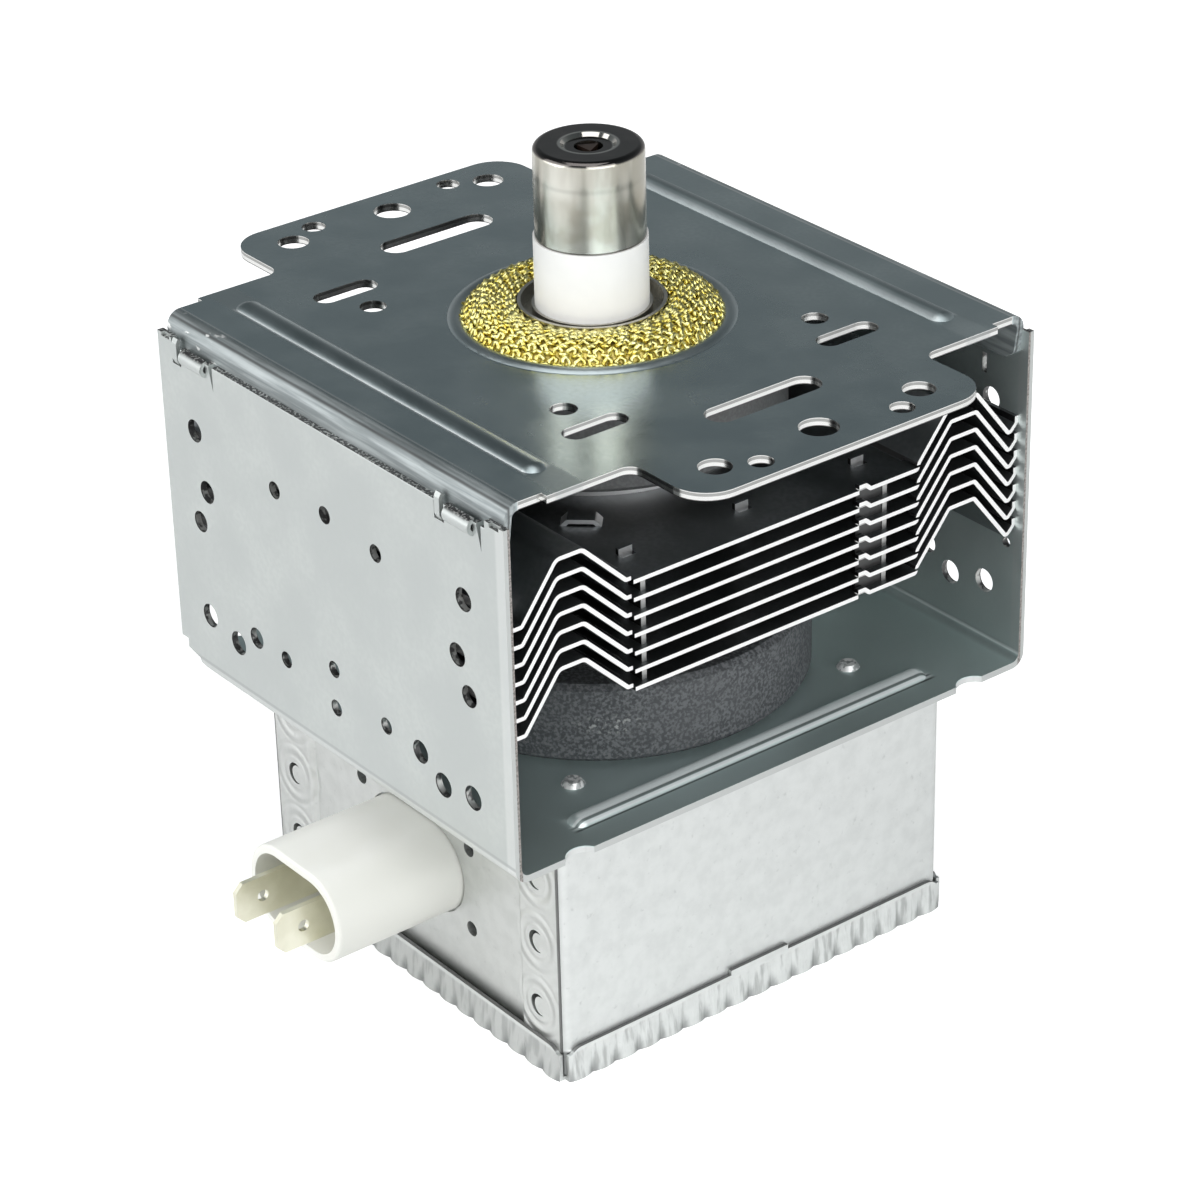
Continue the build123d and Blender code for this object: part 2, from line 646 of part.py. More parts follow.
def edge_fittings(with_spacers):
    """Pieces to add behind the +X edge of a fin, and the windows that they leave in its flat."""
    strip, windows = bridge()
    pieces = nib() + strip
    windows += block(FIN_HALF_X - NIB_DEPTH, FAR, NIB_Y, NIB_Y + NIB_LEVEL + NIB_RAMP, -FIN_T, FIN_T)
    tab_x, half = FIN_HALF_X - TAB_INSET, TAB_LENGTH / 2
    for tab_y in TAB_Y:
        pieces += block(tab_x - FIN_T, tab_x, tab_y - half, tab_y + half, 0, FIN_T / 2 + TAB_RISE)
        windows += block(tab_x, tab_x + TAB_RISE, tab_y - half, tab_y + half, -FIN_T, FIN_T)
    if with_spacers:
        pieces += spacers()
    return pieces, windows


def cooling_fin(with_spacers):
    """Fin whose flat lies at Z = 0; all but the lowest stand on spacers."""
    fin = fin_half(RIGHT_WING) + mirror(fin_half(LEFT_WING), Plane.XZ)
    pieces, windows = edge_fittings(with_spacers)
    fin -= windows
    fin -= mirror(windows, Plane.YZ)
    fin += pieces
    fin += mirror(pieces, Plane.YZ)
    fin += tube(ANODE_R + FIT + FIN_T, ANODE_R + FIT, 0, FIN_COLLAR_H)
    return fin - drill(0, 0, -FAR, FAR, ANODE_R + FIT)


# Anode block


def anode_cylinder():
    body = tube(ANODE_R, ANODE_BORE_R, ANODE_LOW_Z, ANODE_TOP_Z)
    body -= drill(0, 0, ANODE_TOP_Z - POLE_T, FAR, POLE_RIM_R + FIT)
    return body - drill(0, 0, -FAR, ANODE_LOW_Z + POLE_T, POLE_RIM_R + FIT)


def anode_vane(index):
    """Radial vane with slots for the strap rings; alternate vanes touch alternate rings."""
    vane = block(VANE_TIP_R, ANODE_R, -VANE_T / 2, VANE_T / 2, -VANE_HEIGHT / 2, VANE_HEIGHT / 2)
    vane &= Cylinder(ANODE_BORE_R - FIT, VANE_HEIGHT)
    for ring, strap_r in enumerate((STRAP_INNER_R, STRAP_OUTER_R)):
        touches = (index + ring) % 2 == 0
        depth = STRAP_HEIGHT if touches else STRAP_HEIGHT + STRAP_T
        slot = tube(
            strap_r + STRAP_T + STRAP_CLEAR, strap_r - STRAP_CLEAR, VANE_HEIGHT / 2 - depth, VANE_HEIGHT
        )
        vane -= slot
        vane -= mirror(slot, Plane.XY)
    return Rot(0, 0, index * 360 / VANE_COUNT) * Pos(0, 0, ANODE_MID_Z) * vane


def strap_ring(strap_r, upper):
    low = VANE_TOP_Z - STRAP_HEIGHT if upper else VANE_LOW_Z
    return tube(strap_r + STRAP_T, strap_r, low, low + STRAP_HEIGHT)


def pole_piece(upper):
    """Funnel that leads the flux to the gap round the cathode; the upper one has a lead hole."""
    end_z, toward = (ANODE_TOP_Z, -1) if upper else (ANODE_LOW_Z, 1)
    vane_end = VANE_TOP_Z if upper else VANE_LOW_Z
    tip_z = vane_end - toward * POLE_GAP
    cone_r = POLE_RIM_R - 3 * POLE_T
    profile = (
        (POLE_RIM_R, end_z),
        (POLE_RIM_R, end_z + toward * POLE_T),
        (cone_r, end_z + toward * POLE_T),
        (POLE_MOUTH_R + 2 * POLE_T, tip_z),
        (POLE_MOUTH_R, tip_z),
        (POLE_MOUTH_R, tip_z - toward * POLE_T),
        (cone_r - POLE_T, end_z),
    )
    piece = turned(profile)
    if upper:
        piece -= drill(ANTENNA_LEAD_X, 0, -FAR, FAR, 2 * LEAD_R)
    return piece


# Vacuum envelope


def seal_flange_upper():
    """Drawn shell: flange on the anode, neck through the magnet, and a trough for the ceramic."""
    neck_in = NECK_R - ENVELOPE_T
    collar_in = CERAMIC_R + FIT
    collar_out = collar_in + COLLAR_T
    floor_in = CERAMIC_BORE_R + ENVELOPE_T
    profile = (
        (ANODE_R, ANODE_TOP_Z),
        (ANODE_R, UPPER_MAGNET_LOW_Z),
        (MAGNET_BORE_R, UPPER_MAGNET_LOW_Z),
        (NECK_R, UPPER_MAGNET_LOW_Z + MAGNET_EDGE),
        (NECK_R, NECK_TOP_Z),
        (neck_in, NECK_TOP_Z),
        (neck_in, 0),
        (collar_out, 0),
        (collar_out, COLLAR_TOP_Z),
        (collar_in, COLLAR_TOP_Z),
        (collar_in, 0),
        (floor_in, 0),
        (floor_in, -ENVELOPE_T),
        (neck_in, -ENVELOPE_T),
        (neck_in, UPPER_MAGNET_LOW_Z),
        (neck_in + MAGNET_EDGE, ANODE_TOP_Z),
    )
    return turned(profile)


def seal_flange_lower():
    neck_in = NECK_R - ENVELOPE_T
    profile = (
        (ANODE_R, ANODE_LOW_Z),
        (ANODE_R, LOWER_MAGNET_TOP_Z),
        (MAGNET_BORE_R, LOWER_MAGNET_TOP_Z),
        (NECK_R, LOWER_MAGNET_TOP_Z - MAGNET_EDGE),
        (NECK_R, NECK_BOTTOM_Z),
        (neck_in, NECK_BOTTOM_Z),
        (neck_in, LOWER_MAGNET_TOP_Z),
        (neck_in + MAGNET_EDGE, ANODE_LOW_Z),
    )
    return turned(profile)


def stem_insulator():
    body = drill(0, 0, STEM_LOW_Z, NECK_BOTTOM_Z, NECK_R)
    body = chamfer(body.edges().sort_by(Axis.Z)[:1], MAGNET_EDGE)
    for pin_x in (-STEM_PIN_X, STEM_PIN_X):
        body -= drill(pin_x, 0, -FAR, 0, LEAD_R + FIT)
    return body


# Antenna


def antenna_insulator():
    return tube(CERAMIC_R, CERAMIC_BORE_R, 0, CERAMIC_TOP_Z)


def antenna_seat():
    """Dished disc on the ceramic that closes the vacuum and holds the exhaust tube."""
    seat_r = CAP_R - CAP_T - FIT
    profile = (
        (EXHAUST_R + FIT, CERAMIC_TOP_Z),
        (seat_r, CERAMIC_TOP_Z),
        (seat_r, CERAMIC_TOP_Z + 2 * CAP_T),
        (seat_r - CAP_T, CERAMIC_TOP_Z + 2 * CAP_T),
        (seat_r - CAP_T, CERAMIC_TOP_Z + CAP_T),
        (EXHAUST_R + CAP_T, CERAMIC_TOP_Z + CAP_T),
        (EXHAUST_R + CAP_T, CERAMIC_TOP_Z + 3 * CAP_T),
        (EXHAUST_R + FIT, CERAMIC_TOP_Z + 3 * CAP_T),
    )
    return turned(profile)


def antenna_cap():
    """Drawn cup pushed over the seat, with a rounded rim, a sunk middle and an eye in it."""
    inner_r = CAP_R - CAP_T
    cup = drill(0, 0, CERAMIC_TOP_Z + FIT, CAP_TOP_Z, CAP_R)
    cup = fillet(cup.edges().sort_by(Axis.Z)[-1:], CAP_EDGE_R)
    cup -= drill(0, 0, -FAR, CAP_TOP_Z - CAP_DIMPLE_DEPTH - CAP_T, inner_r)
    dimple_top = CAP_DIMPLE_R
    dimple = turned((
        (0, CAP_TOP_Z + FIT),
        (dimple_top, CAP_TOP_Z + FIT),
        (dimple_top - CAP_DIMPLE_DEPTH, CAP_TOP_Z - CAP_DIMPLE_DEPTH),
        (0, CAP_TOP_Z - CAP_DIMPLE_DEPTH),
    ))
    return cup - dimple - drill(0, 0, 0, FAR, CAP_EYE_R)


def exhaust_tube():
    """Copper tube, pinched flat at its top after pumping out."""
    low_z = CERAMIC_TOP_Z - EXHAUST_R
    pinch_z = CAP_TOP_Z - 3 * EXHAUST_R
    top_z = CAP_TOP_Z - CAP_DIMPLE_DEPTH - FIT
    pinch = loft([
        Pos(0, 0, pinch_z) * Circle(EXHAUST_R),
        Pos(0, 0, top_z) * Rot(0, 0, 90) * RegularPolygon(PINCH_R, 3),
    ])
    body = drill(0, 0, low_z, pinch_z, EXHAUST_R) + pinch
    return body - drill(0, 0, low_z - FIT, pinch_z - EXHAUST_R, LEAD_R + FIT)


def antenna_lead():
    start_z = VANE_TOP_Z + FIT
    bend_z = UPPER_MAGNET_LOW_Z + 2 * POLE_T
    axis_z = bend_z + ANTENNA_LEAD_X
    top_z = CAP_TOP_Z - 5 * EXHAUST_R
    route = (
        (ANTENNA_LEAD_X, 0, start_z), (ANTENNA_LEAD_X, 0, bend_z), (0, 0, axis_z), (0, 0, top_z),
    )
    return wire_run(route, LEAD_R, 2 * LEAD_R)


def gasket_mesh():
    """Ring of knitted wire, rounded over the top, that seals the plate to the cooker."""
    inner_r = NECK_R + FIT
    foot, inner_top = GASKET_EDGES
    crown_r = (inner_r + GASKET_R) / 2
    with BuildSketch(Plane.XZ) as section:
        with BuildLine():
            Polyline((inner_r, inner_top), (inner_r, 0), (GASKET_R, 0), (GASKET_R, foot))
            ThreePointArc((GASKET_R, foot), (crown_r, GASKET_HEIGHT), (inner_r, inner_top))
        make_face()
    return revolve(section.sketch, Axis.Z)


# Cathode


def end_hat(upper):
    """Disc at one end of the filament; the centre lead stops in the upper one."""
    low = VANE_TOP_Z - HAT_T / 2 if upper else VANE_LOW_Z - HAT_T / 2
    hat = drill(0, 0, low, low + HAT_T, HAT_R)
    if upper:
        return hat - drill(0, 0, -FAR, low + HAT_T / 2, LEAD_R + FIT)
    hat -= drill(0, 0, -FAR, FAR, HAT_BORE_R)
    return hat - drill(SIDE_LEAD_X, 0, -FAR, low + HAT_T / 2, LEAD_R + FIT)


def square_coil(radius, wire, pitch, turns):
    """Helix of square wire about Z, its middle line starting at (radius, 0, 0)."""
    line = Helix(pitch=pitch, height=pitch * turns, radius=radius)
    section = Plane(line @ 0, z_dir=line % 0) * Rectangle(wire, wire)
    return sweep(section, line, is_frenet=True)


def cathode_filament():
    low = VANE_LOW_Z + HAT_T / 2 + FILAMENT_WIRE / 2 + 2 * FIT
    high = VANE_TOP_Z - HAT_T / 2 - FILAMENT_WIRE / 2 - 2 * FIT
    coil = square_coil(FILAMENT_R, FILAMENT_WIRE, (high - low) / FILAMENT_TURNS, FILAMENT_TURNS)
    return Pos(0, 0, low) * coil


def cathode_lead(centre):
    """Molybdenum rod from an end hat down through the stem to its pin."""
    top = VANE_TOP_Z - FIT if centre else VANE_LOW_Z - FIT
    start_x, pin_x = (0, -STEM_PIN_X) if centre else (SIDE_LEAD_X, STEM_PIN_X)
    bend_z = LOWER_MAGNET_TOP_Z
    straight_z = NECK_BOTTOM_Z + STEM_HEIGHT / 4
    route = ((start_x, 0, top), (start_x, 0, bend_z), (pin_x, 0, straight_z), (pin_x, 0, STEM_PIN_Z))
    return wire_run(route, LEAD_R, 2 * LEAD_R)


# Filter case


def filter_case():
    """Folded case, open below, with two inturned flanges behind the front panel."""
    height = CASE_TOP_Z - CASE_BOTTOM_Z
    shell = extrude(
        Pos(0, 0, CASE_BOTTOM_Z) * RectangleRounded(2 * CASE_HALF_X, 2 * CASE_HALF_Y, CASE_CORNER_R),
        height,
    )
    inner_x, inner_y = CASE_HALF_X - CASE_T, CASE_HALF_Y - CASE_T
    shell -= block(-inner_x, inner_x, CASE_T - inner_y, inner_y, -FAR, CASE_TOP_Z - CASE_T)
    lap_x = PANEL_STEP_X + CASE_T + FIT
    below_top = CASE_TOP_Z - CASE_T
    shell -= block(-lap_x, lap_x, -FAR, CASE_T - inner_y + FIT, -FAR, below_top)
    shell -= block(-PANEL_HALF_X - FIT, PANEL_HALF_X + FIT, -FAR, -inner_y, -FAR, below_top)
    shell -= drill(0, 0, -FAR, FAR, NECK_HOLE_R)
    for side_x in (-1, 1):
        for side_y in (-1, 1):
            shell -= drill(side_x * RIVET_X, side_y * RIVET_Y, -FAR, FAR, RIVET_R + FIT)
    return shell - extrude(Plane.XZ * clinches(), FAR)


def filter_panel():
    """Front panel: its middle is set back one thickness between two strips that are clinched."""
    outer_y = -(CASE_HALF_Y - CASE_T / 2)
    middle_y = outer_y + CASE_T
    step = CASE_T / 2
    path = (
        (-PANEL_HALF_X, outer_y), (-PANEL_STEP_X - step, outer_y), (-PANEL_STEP_X + step, middle_y),
        (PANEL_STEP_X - step, middle_y), (PANEL_STEP_X + step, outer_y), (PANEL_HALF_X, outer_y),
    )
    top_z = CASE_TOP_Z - CASE_T - FIT
    section = Pos(0, 0, CASE_BOTTOM_Z) * bent_strip(path, CASE_T, PANEL_BEND_R)
    panel = extrude(section, top_z - CASE_BOTTOM_Z)
    cuts = Pos(0, CONN_Z) * SlotOverall(2 * (CONN_HALF_X + SLIP), 2 * (CONN_HALF_Z + SLIP))
    cuts += eyelets()
    cuts += clinches()
    return panel - extrude(Plane.XZ * cuts, FAR)


def clinches():
    """Crescents through the panel's strips and the flanges of the case behind them."""
    tongue_x = CLINCH_GAP - CLINCH_R + CLINCH_TONGUE_R
    lance = Circle(CLINCH_R) - Pos(tongue_x, 0) * Circle(CLINCH_TONGUE_R)
    cuts = Sketch()
    for side in (-1, 1):
        for level in CLINCH_Z:
            cuts += Pos(side * CLINCH_X, level) * lance
    return cuts


def eyelets():
    """Holes round the connector, through the panel and the capacitor's plate."""
    holes = Sketch()
    for side_x in (-1, 1):
        for side_z in (-1, 1):
            holes += Pos(side_x * EYELET_X, CONN_Z + side_z * EYELET_Z) * Circle(EYELET_R)
    return holes


def lid_rim(half, tab_half):
    """Flat outline of one upturned rim: rounded upper corners and, on one side, a raised tab."""
    height = LID_RIM_Z - LID_LOW_Z
    rim = Rectangle(2 * half, height, align=(Align.CENTER, Align.MIN))
    rim = fillet(rim.vertices().sort_by(Axis.Y)[-2:], LID_CORNER_R)
    if tab_half:
        rim += Rectangle(2 * tab_half, height + LID_TAB_RISE, align=(Align.CENTER, Align.MIN))
    return Pos(0, LID_LOW_Z) * rim


def fluted_band(half, outer):
    """Row of flutes that swell towards the foot of a rim whose outside is at X = outer."""
    pitch = 2 * half / FLUTE_COUNT
    cusps = [(outer, index * pitch - half) for index in range(FLUTE_COUNT + 1)]
    back = [(outer - LID_T, half), (outer - LID_T, -half)]
    scallops = Curve()
    for start, end in zip(cusps, cusps[1:]):
        scallops += SagittaArc(start, end, -FLUTE_BULGE)
    foot = make_face(scallops + Polyline(cusps[-1], *back, cusps[0]))
    top = make_face(Polyline(*cusps, *back, close=True))
    return loft([Pos(0, 0, LID_LOW_Z) * foot, Pos(0, 0, FLUTE_TOP_Z) * top], ruled=True)


def filter_lid():
    """Tray with four rims that grip the case; each rim swells into flutes at its foot."""
    outer = (CASE_HALF_X + FIT + LID_T, CASE_HALF_Y + FIT + LID_T)
    rim_half = (CASE_HALF_X - LID_RIM_INSET, CASE_HALF_Y - LID_RIM_INSET)
    lid = block(-outer[0], outer[0], -rim_half[1], rim_half[1], LID_LOW_Z, LID_LOW_Z + LID_T)
    lid += block(-rim_half[0], rim_half[0], -outer[1], outer[1], LID_LOW_Z, LID_LOW_Z + LID_T)
    for quarter in range(4):
        face, half = outer[quarter % 2], rim_half[(quarter + 1) % 2]
        outline = lid_rim(half, 0 if quarter else LID_TAB_HALF)
        rim = extrude(Plane.YZ.offset(face - LID_T) * outline, LID_T)
        lid += Rot(0, 0, 90 * quarter) * (rim + fluted_band(half, face))
    return lid


# Supply connector and capacitor


def stadium(half_x, half_z, y_from, y_to):
    """Stadium-shaped bar along Y about the connector's axis."""
    outline = Plane.XZ.offset(-y_from) * Pos(0, CONN_Z) * SlotOverall(2 * half_x, 2 * half_z)
    return extrude(outline, y_from - y_to)


def connector_shell():
    """White moulded shroud, open to -Y round the two blades."""
    back_y = -(CASE_HALF_Y - 2 * CASE_T)
    shell = stadium(CONN_HALF_X, CONN_HALF_Z, back_y, CONN_MOUTH_Y)
    mouth = shell.faces().sort_by(Axis.Y)[:1]
    shell = fillet(mouth.edges(), CONN_WALL / 3)
    floor_y = CONN_MOUTH_Y + CONN_DEPTH
    shell -= stadium(CONN_HALF_X - CONN_WALL, CONN_HALF_Z - CONN_WALL, floor_y, CONN_MOUTH_Y - CONN_WALL)
    for side in (-1, 1):
        slot_x, slot_z = BLADE_T / 2 + FIT, BLADE_HEIGHT / 2 + FIT
        x = side * BLADE_X
        shell -= block(
            x - slot_x, x + slot_x, floor_y - FIT, BLADE_ROOT_Y + FIT, CONN_Z - slot_z, CONN_Z + slot_z
        )
        shell -= rod_along_y(x, BLADE_ROOT_Y - 2 * FIT, back_y + FIT, FEED_ROD_R + FIT)
    return shell


def rod_along_y(x, y_low, y_high, radius):
    middle = Pos(x, (y_low + y_high) / 2, CONN_Z)
    return middle * Rot(90, 0, 0) * Cylinder(radius, y_high - y_low)


def capacitor_plate():
    """Earthed plate that bears on the back of the front panel."""
    front_y = -(CASE_HALF_Y - 2 * CASE_T)
    half_x, half_z = CAP_PLATE_HALF
    plate = block(
        -half_x, half_x, front_y, front_y + CAP_PLATE_T, CONN_Z - half_z, CONN_Z + half_z
    )
    for side in (-1, 1):
        plate -= rod_along_y(side * BLADE_X, -FAR, FAR, FEED_ROD_R + FIT)
    return plate - extrude(Plane.XZ * eyelets(), FAR)


def capacitor_block():
    """Moulded block that holds the two feed-through capacitors."""
    front_y = -(CASE_HALF_Y - 2 * CASE_T) + CAP_PLATE_T
    body = stadium(*CAP_BLOCK_HALF, front_y + CAP_BLOCK_LENGTH, front_y)
    for side in (-1, 1):
        body -= rod_along_y(side * BLADE_X, -FAR, FAR, FEED_ROD_R + FIT)
    return body


def terminal_tab(side):
    """Blade for a push-on receptacle, with its rod through the capacitor."""
    x = side * BLADE_X
    half = BLADE_HEIGHT / 2
    outline = make_face(Polyline(
        (BLADE_ROOT_Y, CONN_Z - half),
        (BLADE_TIP_Y + BLADE_CHAMFER, CONN_Z - half),
        (BLADE_TIP_Y, CONN_Z - half + BLADE_CHAMFER),
        (BLADE_TIP_Y, CONN_Z + half - BLADE_CHAMFER),
        (BLADE_TIP_Y + BLADE_CHAMFER, CONN_Z + half),
        (BLADE_ROOT_Y, CONN_Z + half),
        close=True,
    ))
    outline -= Pos(BLADE_TIP_Y + BLADE_HOLE_BACK, CONN_Z) * Circle(BLADE_HOLE_R)
    blade = extrude(Plane.YZ.offset(x - BLADE_T / 2) * outline, BLADE_T)
    return blade + rod_along_y(x, BLADE_ROOT_Y - FIT, FEED_ROD_END_Y, FEED_ROD_R)


# Chokes


def choke_coil(side):
    """Coil along Y, with leads to the capacitor's rod and to the pin of the cathode stem."""
    x = side * CHOKE_X
    inner_x = x - side * CHOKE_R
    end_y = CHOKE_START_Y + CHOKE_PITCH * CHOKE_TURNS
    wire_r = CHOKE_WIRE / 2
    coil = square_coil(CHOKE_R, CHOKE_WIRE, CHOKE_PITCH, CHOKE_TURNS)
    inward = 180 if side > 0 else 0
    coil = Pos(x, CHOKE_START_Y, CHOKE_Z) * Rot(-90, 0, 0) * Rot(0, 0, inward) * coil
    rod_end = (side * BLADE_X, FEED_ROD_END_Y + wire_r + FIT, CONN_Z)
    pin_end = (side * STEM_PIN_X, 0, STEM_PIN_Z - wire_r - FIT)
    coil += wire_run((rod_end, (inner_x, CHOKE_START_Y, CHOKE_Z)), wire_r, wire_r)
    clear_x = inner_x - side * 2 * CHOKE_WIRE
    tail = ((inner_x, end_y, CHOKE_Z), (clear_x, end_y, CHOKE_Z), pin_end)
    return coil + wire_run(tail, wire_r, CHOKE_WIRE)


def choke_core(side):
    length = CHOKE_PITCH * CHOKE_TURNS + 2 * CHOKE_CORE_OVERHANG
    middle_y = CHOKE_START_Y + CHOKE_PITCH * CHOKE_TURNS / 2
    return Pos(side * CHOKE_X, middle_y, CHOKE_Z) * Rot(90, 0, 0) * Cylinder(CHOKE_CORE_R, length)


def case_rivets():
    """Four rivets that hold the filter case to the floor of the yoke."""
    shank_low, shank_high = CASE_TOP_Z - CASE_T, FLOOR_Z
    profile = (
        (0, shank_low - RIVET_HEAD_H),
        (RIVET_HEAD_R, shank_low - RIVET_HEAD_H),
        (RIVET_HEAD_R, shank_low),
        (RIVET_R, shank_low),
        (RIVET_R, shank_high),
        (RIVET_HEAD_R, shank_high),
        (RIVET_CROWN_R, shank_high + RIVET_HEAD_H),
        (0, shank_high + RIVET_HEAD_H),
    )
    rivet = turned(profile)
    places = [(x * RIVET_X, y * RIVET_Y) for x in (-1, 1) for y in (-1, 1)]
    return Compound(children=[Pos(x, y, 0) * rivet for x, y in places])


os.makedirs("parts", exist_ok=True)
save(yoke_top_plate(), "yoke_top_plate")
save(yoke_frame(), "yoke_frame")
save(ring_magnet(UPPER_MAGNET_R, UPPER_MAGNET_LOW_Z, PLATE_UNDER_Z), "upper_magnet")
save(ring_magnet(LOWER_MAGNET_R, FLOOR_Z, LOWER_MAGNET_TOP_Z), "lower_magnet")
stacked_fin = cooling_fin(True)
lowest_fin = cooling_fin(False)
for fin_index in range(FIN_COUNT):
    fin_shape = stacked_fin if fin_index < FIN_COUNT - 1 else lowest_fin
    save(Pos(0, 0, FIN_TOP_Z - fin_index * FIN_PITCH) * fin_shape, f"cooling_fin_{fin_index + 1}")
save(anode_cylinder(), "anode_cylinder")
for vane_index in range(VANE_COUNT):
    save(anode_vane(vane_index), f"anode_vane_{vane_index + 1:02d}")
save(strap_ring(STRAP_INNER_R, True), "strap_ring_upper_inner")
save(strap_ring(STRAP_OUTER_R, True), "strap_ring_upper_outer")
save(strap_ring(STRAP_INNER_R, False), "strap_ring_lower_inner")
save(strap_ring(STRAP_OUTER_R, False), "strap_ring_lower_outer")
save(pole_piece(True), "pole_piece_upper")
save(pole_piece(False), "pole_piece_lower")
save(seal_flange_upper(), "seal_flange_upper")
save(seal_flange_lower(), "seal_flange_lower")
save(stem_insulator(), "stem_insulator")
save(antenna_insulator(), "antenna_insulator")
save(antenna_seat(), "antenna_seat")
save(antenna_cap(), "antenna_cap")
save(exhaust_tube(), "exhaust_tube")
save(antenna_lead(), "antenna_lead")
save(gasket_mesh(), "gasket_mesh")
save(end_hat(True), "end_hat_upper")
save(end_hat(False), "end_hat_lower")
save(cathode_filament(), "cathode_filament")
save(cathode_lead(True), "cathode_lead_centre")
save(cathode_lead(False), "cathode_lead_side")
save(filter_case(), "filter_case")
save(filter_panel(), "filter_panel")
save(filter_lid(), "filter_lid")
save(case_rivets(), "case_rivets")
save(connector_shell(), "connector_shell")
save(capacitor_plate(), "capacitor_plate")
save(capacitor_block(), "capacitor_block")
for tab_index, tab_side in enumerate((-1, 1)):
    save(terminal_tab(tab_side), f"terminal_tab_{tab_index + 1}")
    save(choke_coil(tab_side), f"choke_coil_{tab_index + 1}")
    save(choke_core(tab_side), f"choke_core_{tab_index + 1}")
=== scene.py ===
import math
import random

import bmesh
import bpy
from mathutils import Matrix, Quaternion, Vector


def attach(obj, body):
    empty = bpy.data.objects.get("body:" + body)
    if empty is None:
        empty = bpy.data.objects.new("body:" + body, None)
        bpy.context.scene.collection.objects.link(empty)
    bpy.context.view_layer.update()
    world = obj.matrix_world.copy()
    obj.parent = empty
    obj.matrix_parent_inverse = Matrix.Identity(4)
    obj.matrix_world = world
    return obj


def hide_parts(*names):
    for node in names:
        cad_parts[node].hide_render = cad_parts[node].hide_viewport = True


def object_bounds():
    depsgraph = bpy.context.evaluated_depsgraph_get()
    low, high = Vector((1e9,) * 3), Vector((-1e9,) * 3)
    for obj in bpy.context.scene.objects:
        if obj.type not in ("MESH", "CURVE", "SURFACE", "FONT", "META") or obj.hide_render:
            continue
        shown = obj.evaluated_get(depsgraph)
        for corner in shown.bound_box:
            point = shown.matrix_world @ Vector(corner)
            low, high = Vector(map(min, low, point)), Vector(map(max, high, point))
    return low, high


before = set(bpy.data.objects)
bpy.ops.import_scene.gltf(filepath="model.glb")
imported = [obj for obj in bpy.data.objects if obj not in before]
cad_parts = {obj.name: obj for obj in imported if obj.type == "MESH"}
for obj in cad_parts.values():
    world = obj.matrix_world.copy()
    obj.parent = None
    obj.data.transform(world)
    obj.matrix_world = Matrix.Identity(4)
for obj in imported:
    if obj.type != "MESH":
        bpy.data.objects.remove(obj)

cad_box = [list(corner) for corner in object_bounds()]
mm = 0.001


# Camera
# It looks down at the tube from the side of the supply connector and an open side of the yoke.
# Place, turn and lens were fitted to the straight edges of yoke, plate and box in the photograph.
turn, rise, tilt = math.radians(52.434), math.radians(28.589), math.radians(-1.425)
distance, beside, above = 556.863 * mm, 0.035 * mm, -13.392 * mm
aim = Vector((0, 0, -30 * mm))
back = Vector((math.sin(turn) * math.cos(rise), -math.cos(turn) * math.cos(rise), math.sin(rise)))
level = (-back).cross(Vector((0, 0, 1))).normalized()
upright = level.cross(-back)
camera = bpy.data.objects.new("camera", bpy.data.cameras.new("camera"))
camera.data.sensor_fit = "HORIZONTAL"
camera.data.sensor_width = 36.0
camera.data.lens = 117.935
camera.data.clip_start = 0.01
camera.rotation_mode = "QUATERNION"
camera.rotation_quaternion = back.to_track_quat("Z", "Y")
camera.rotation_quaternion.rotate(Quaternion(back, tilt))
camera.location = aim + back * distance + level * beside + upright * above
bpy.context.collection.objects.link(camera)
bpy.context.scene.camera = camera
bpy.context.scene.view_settings.view_transform = "Standard"


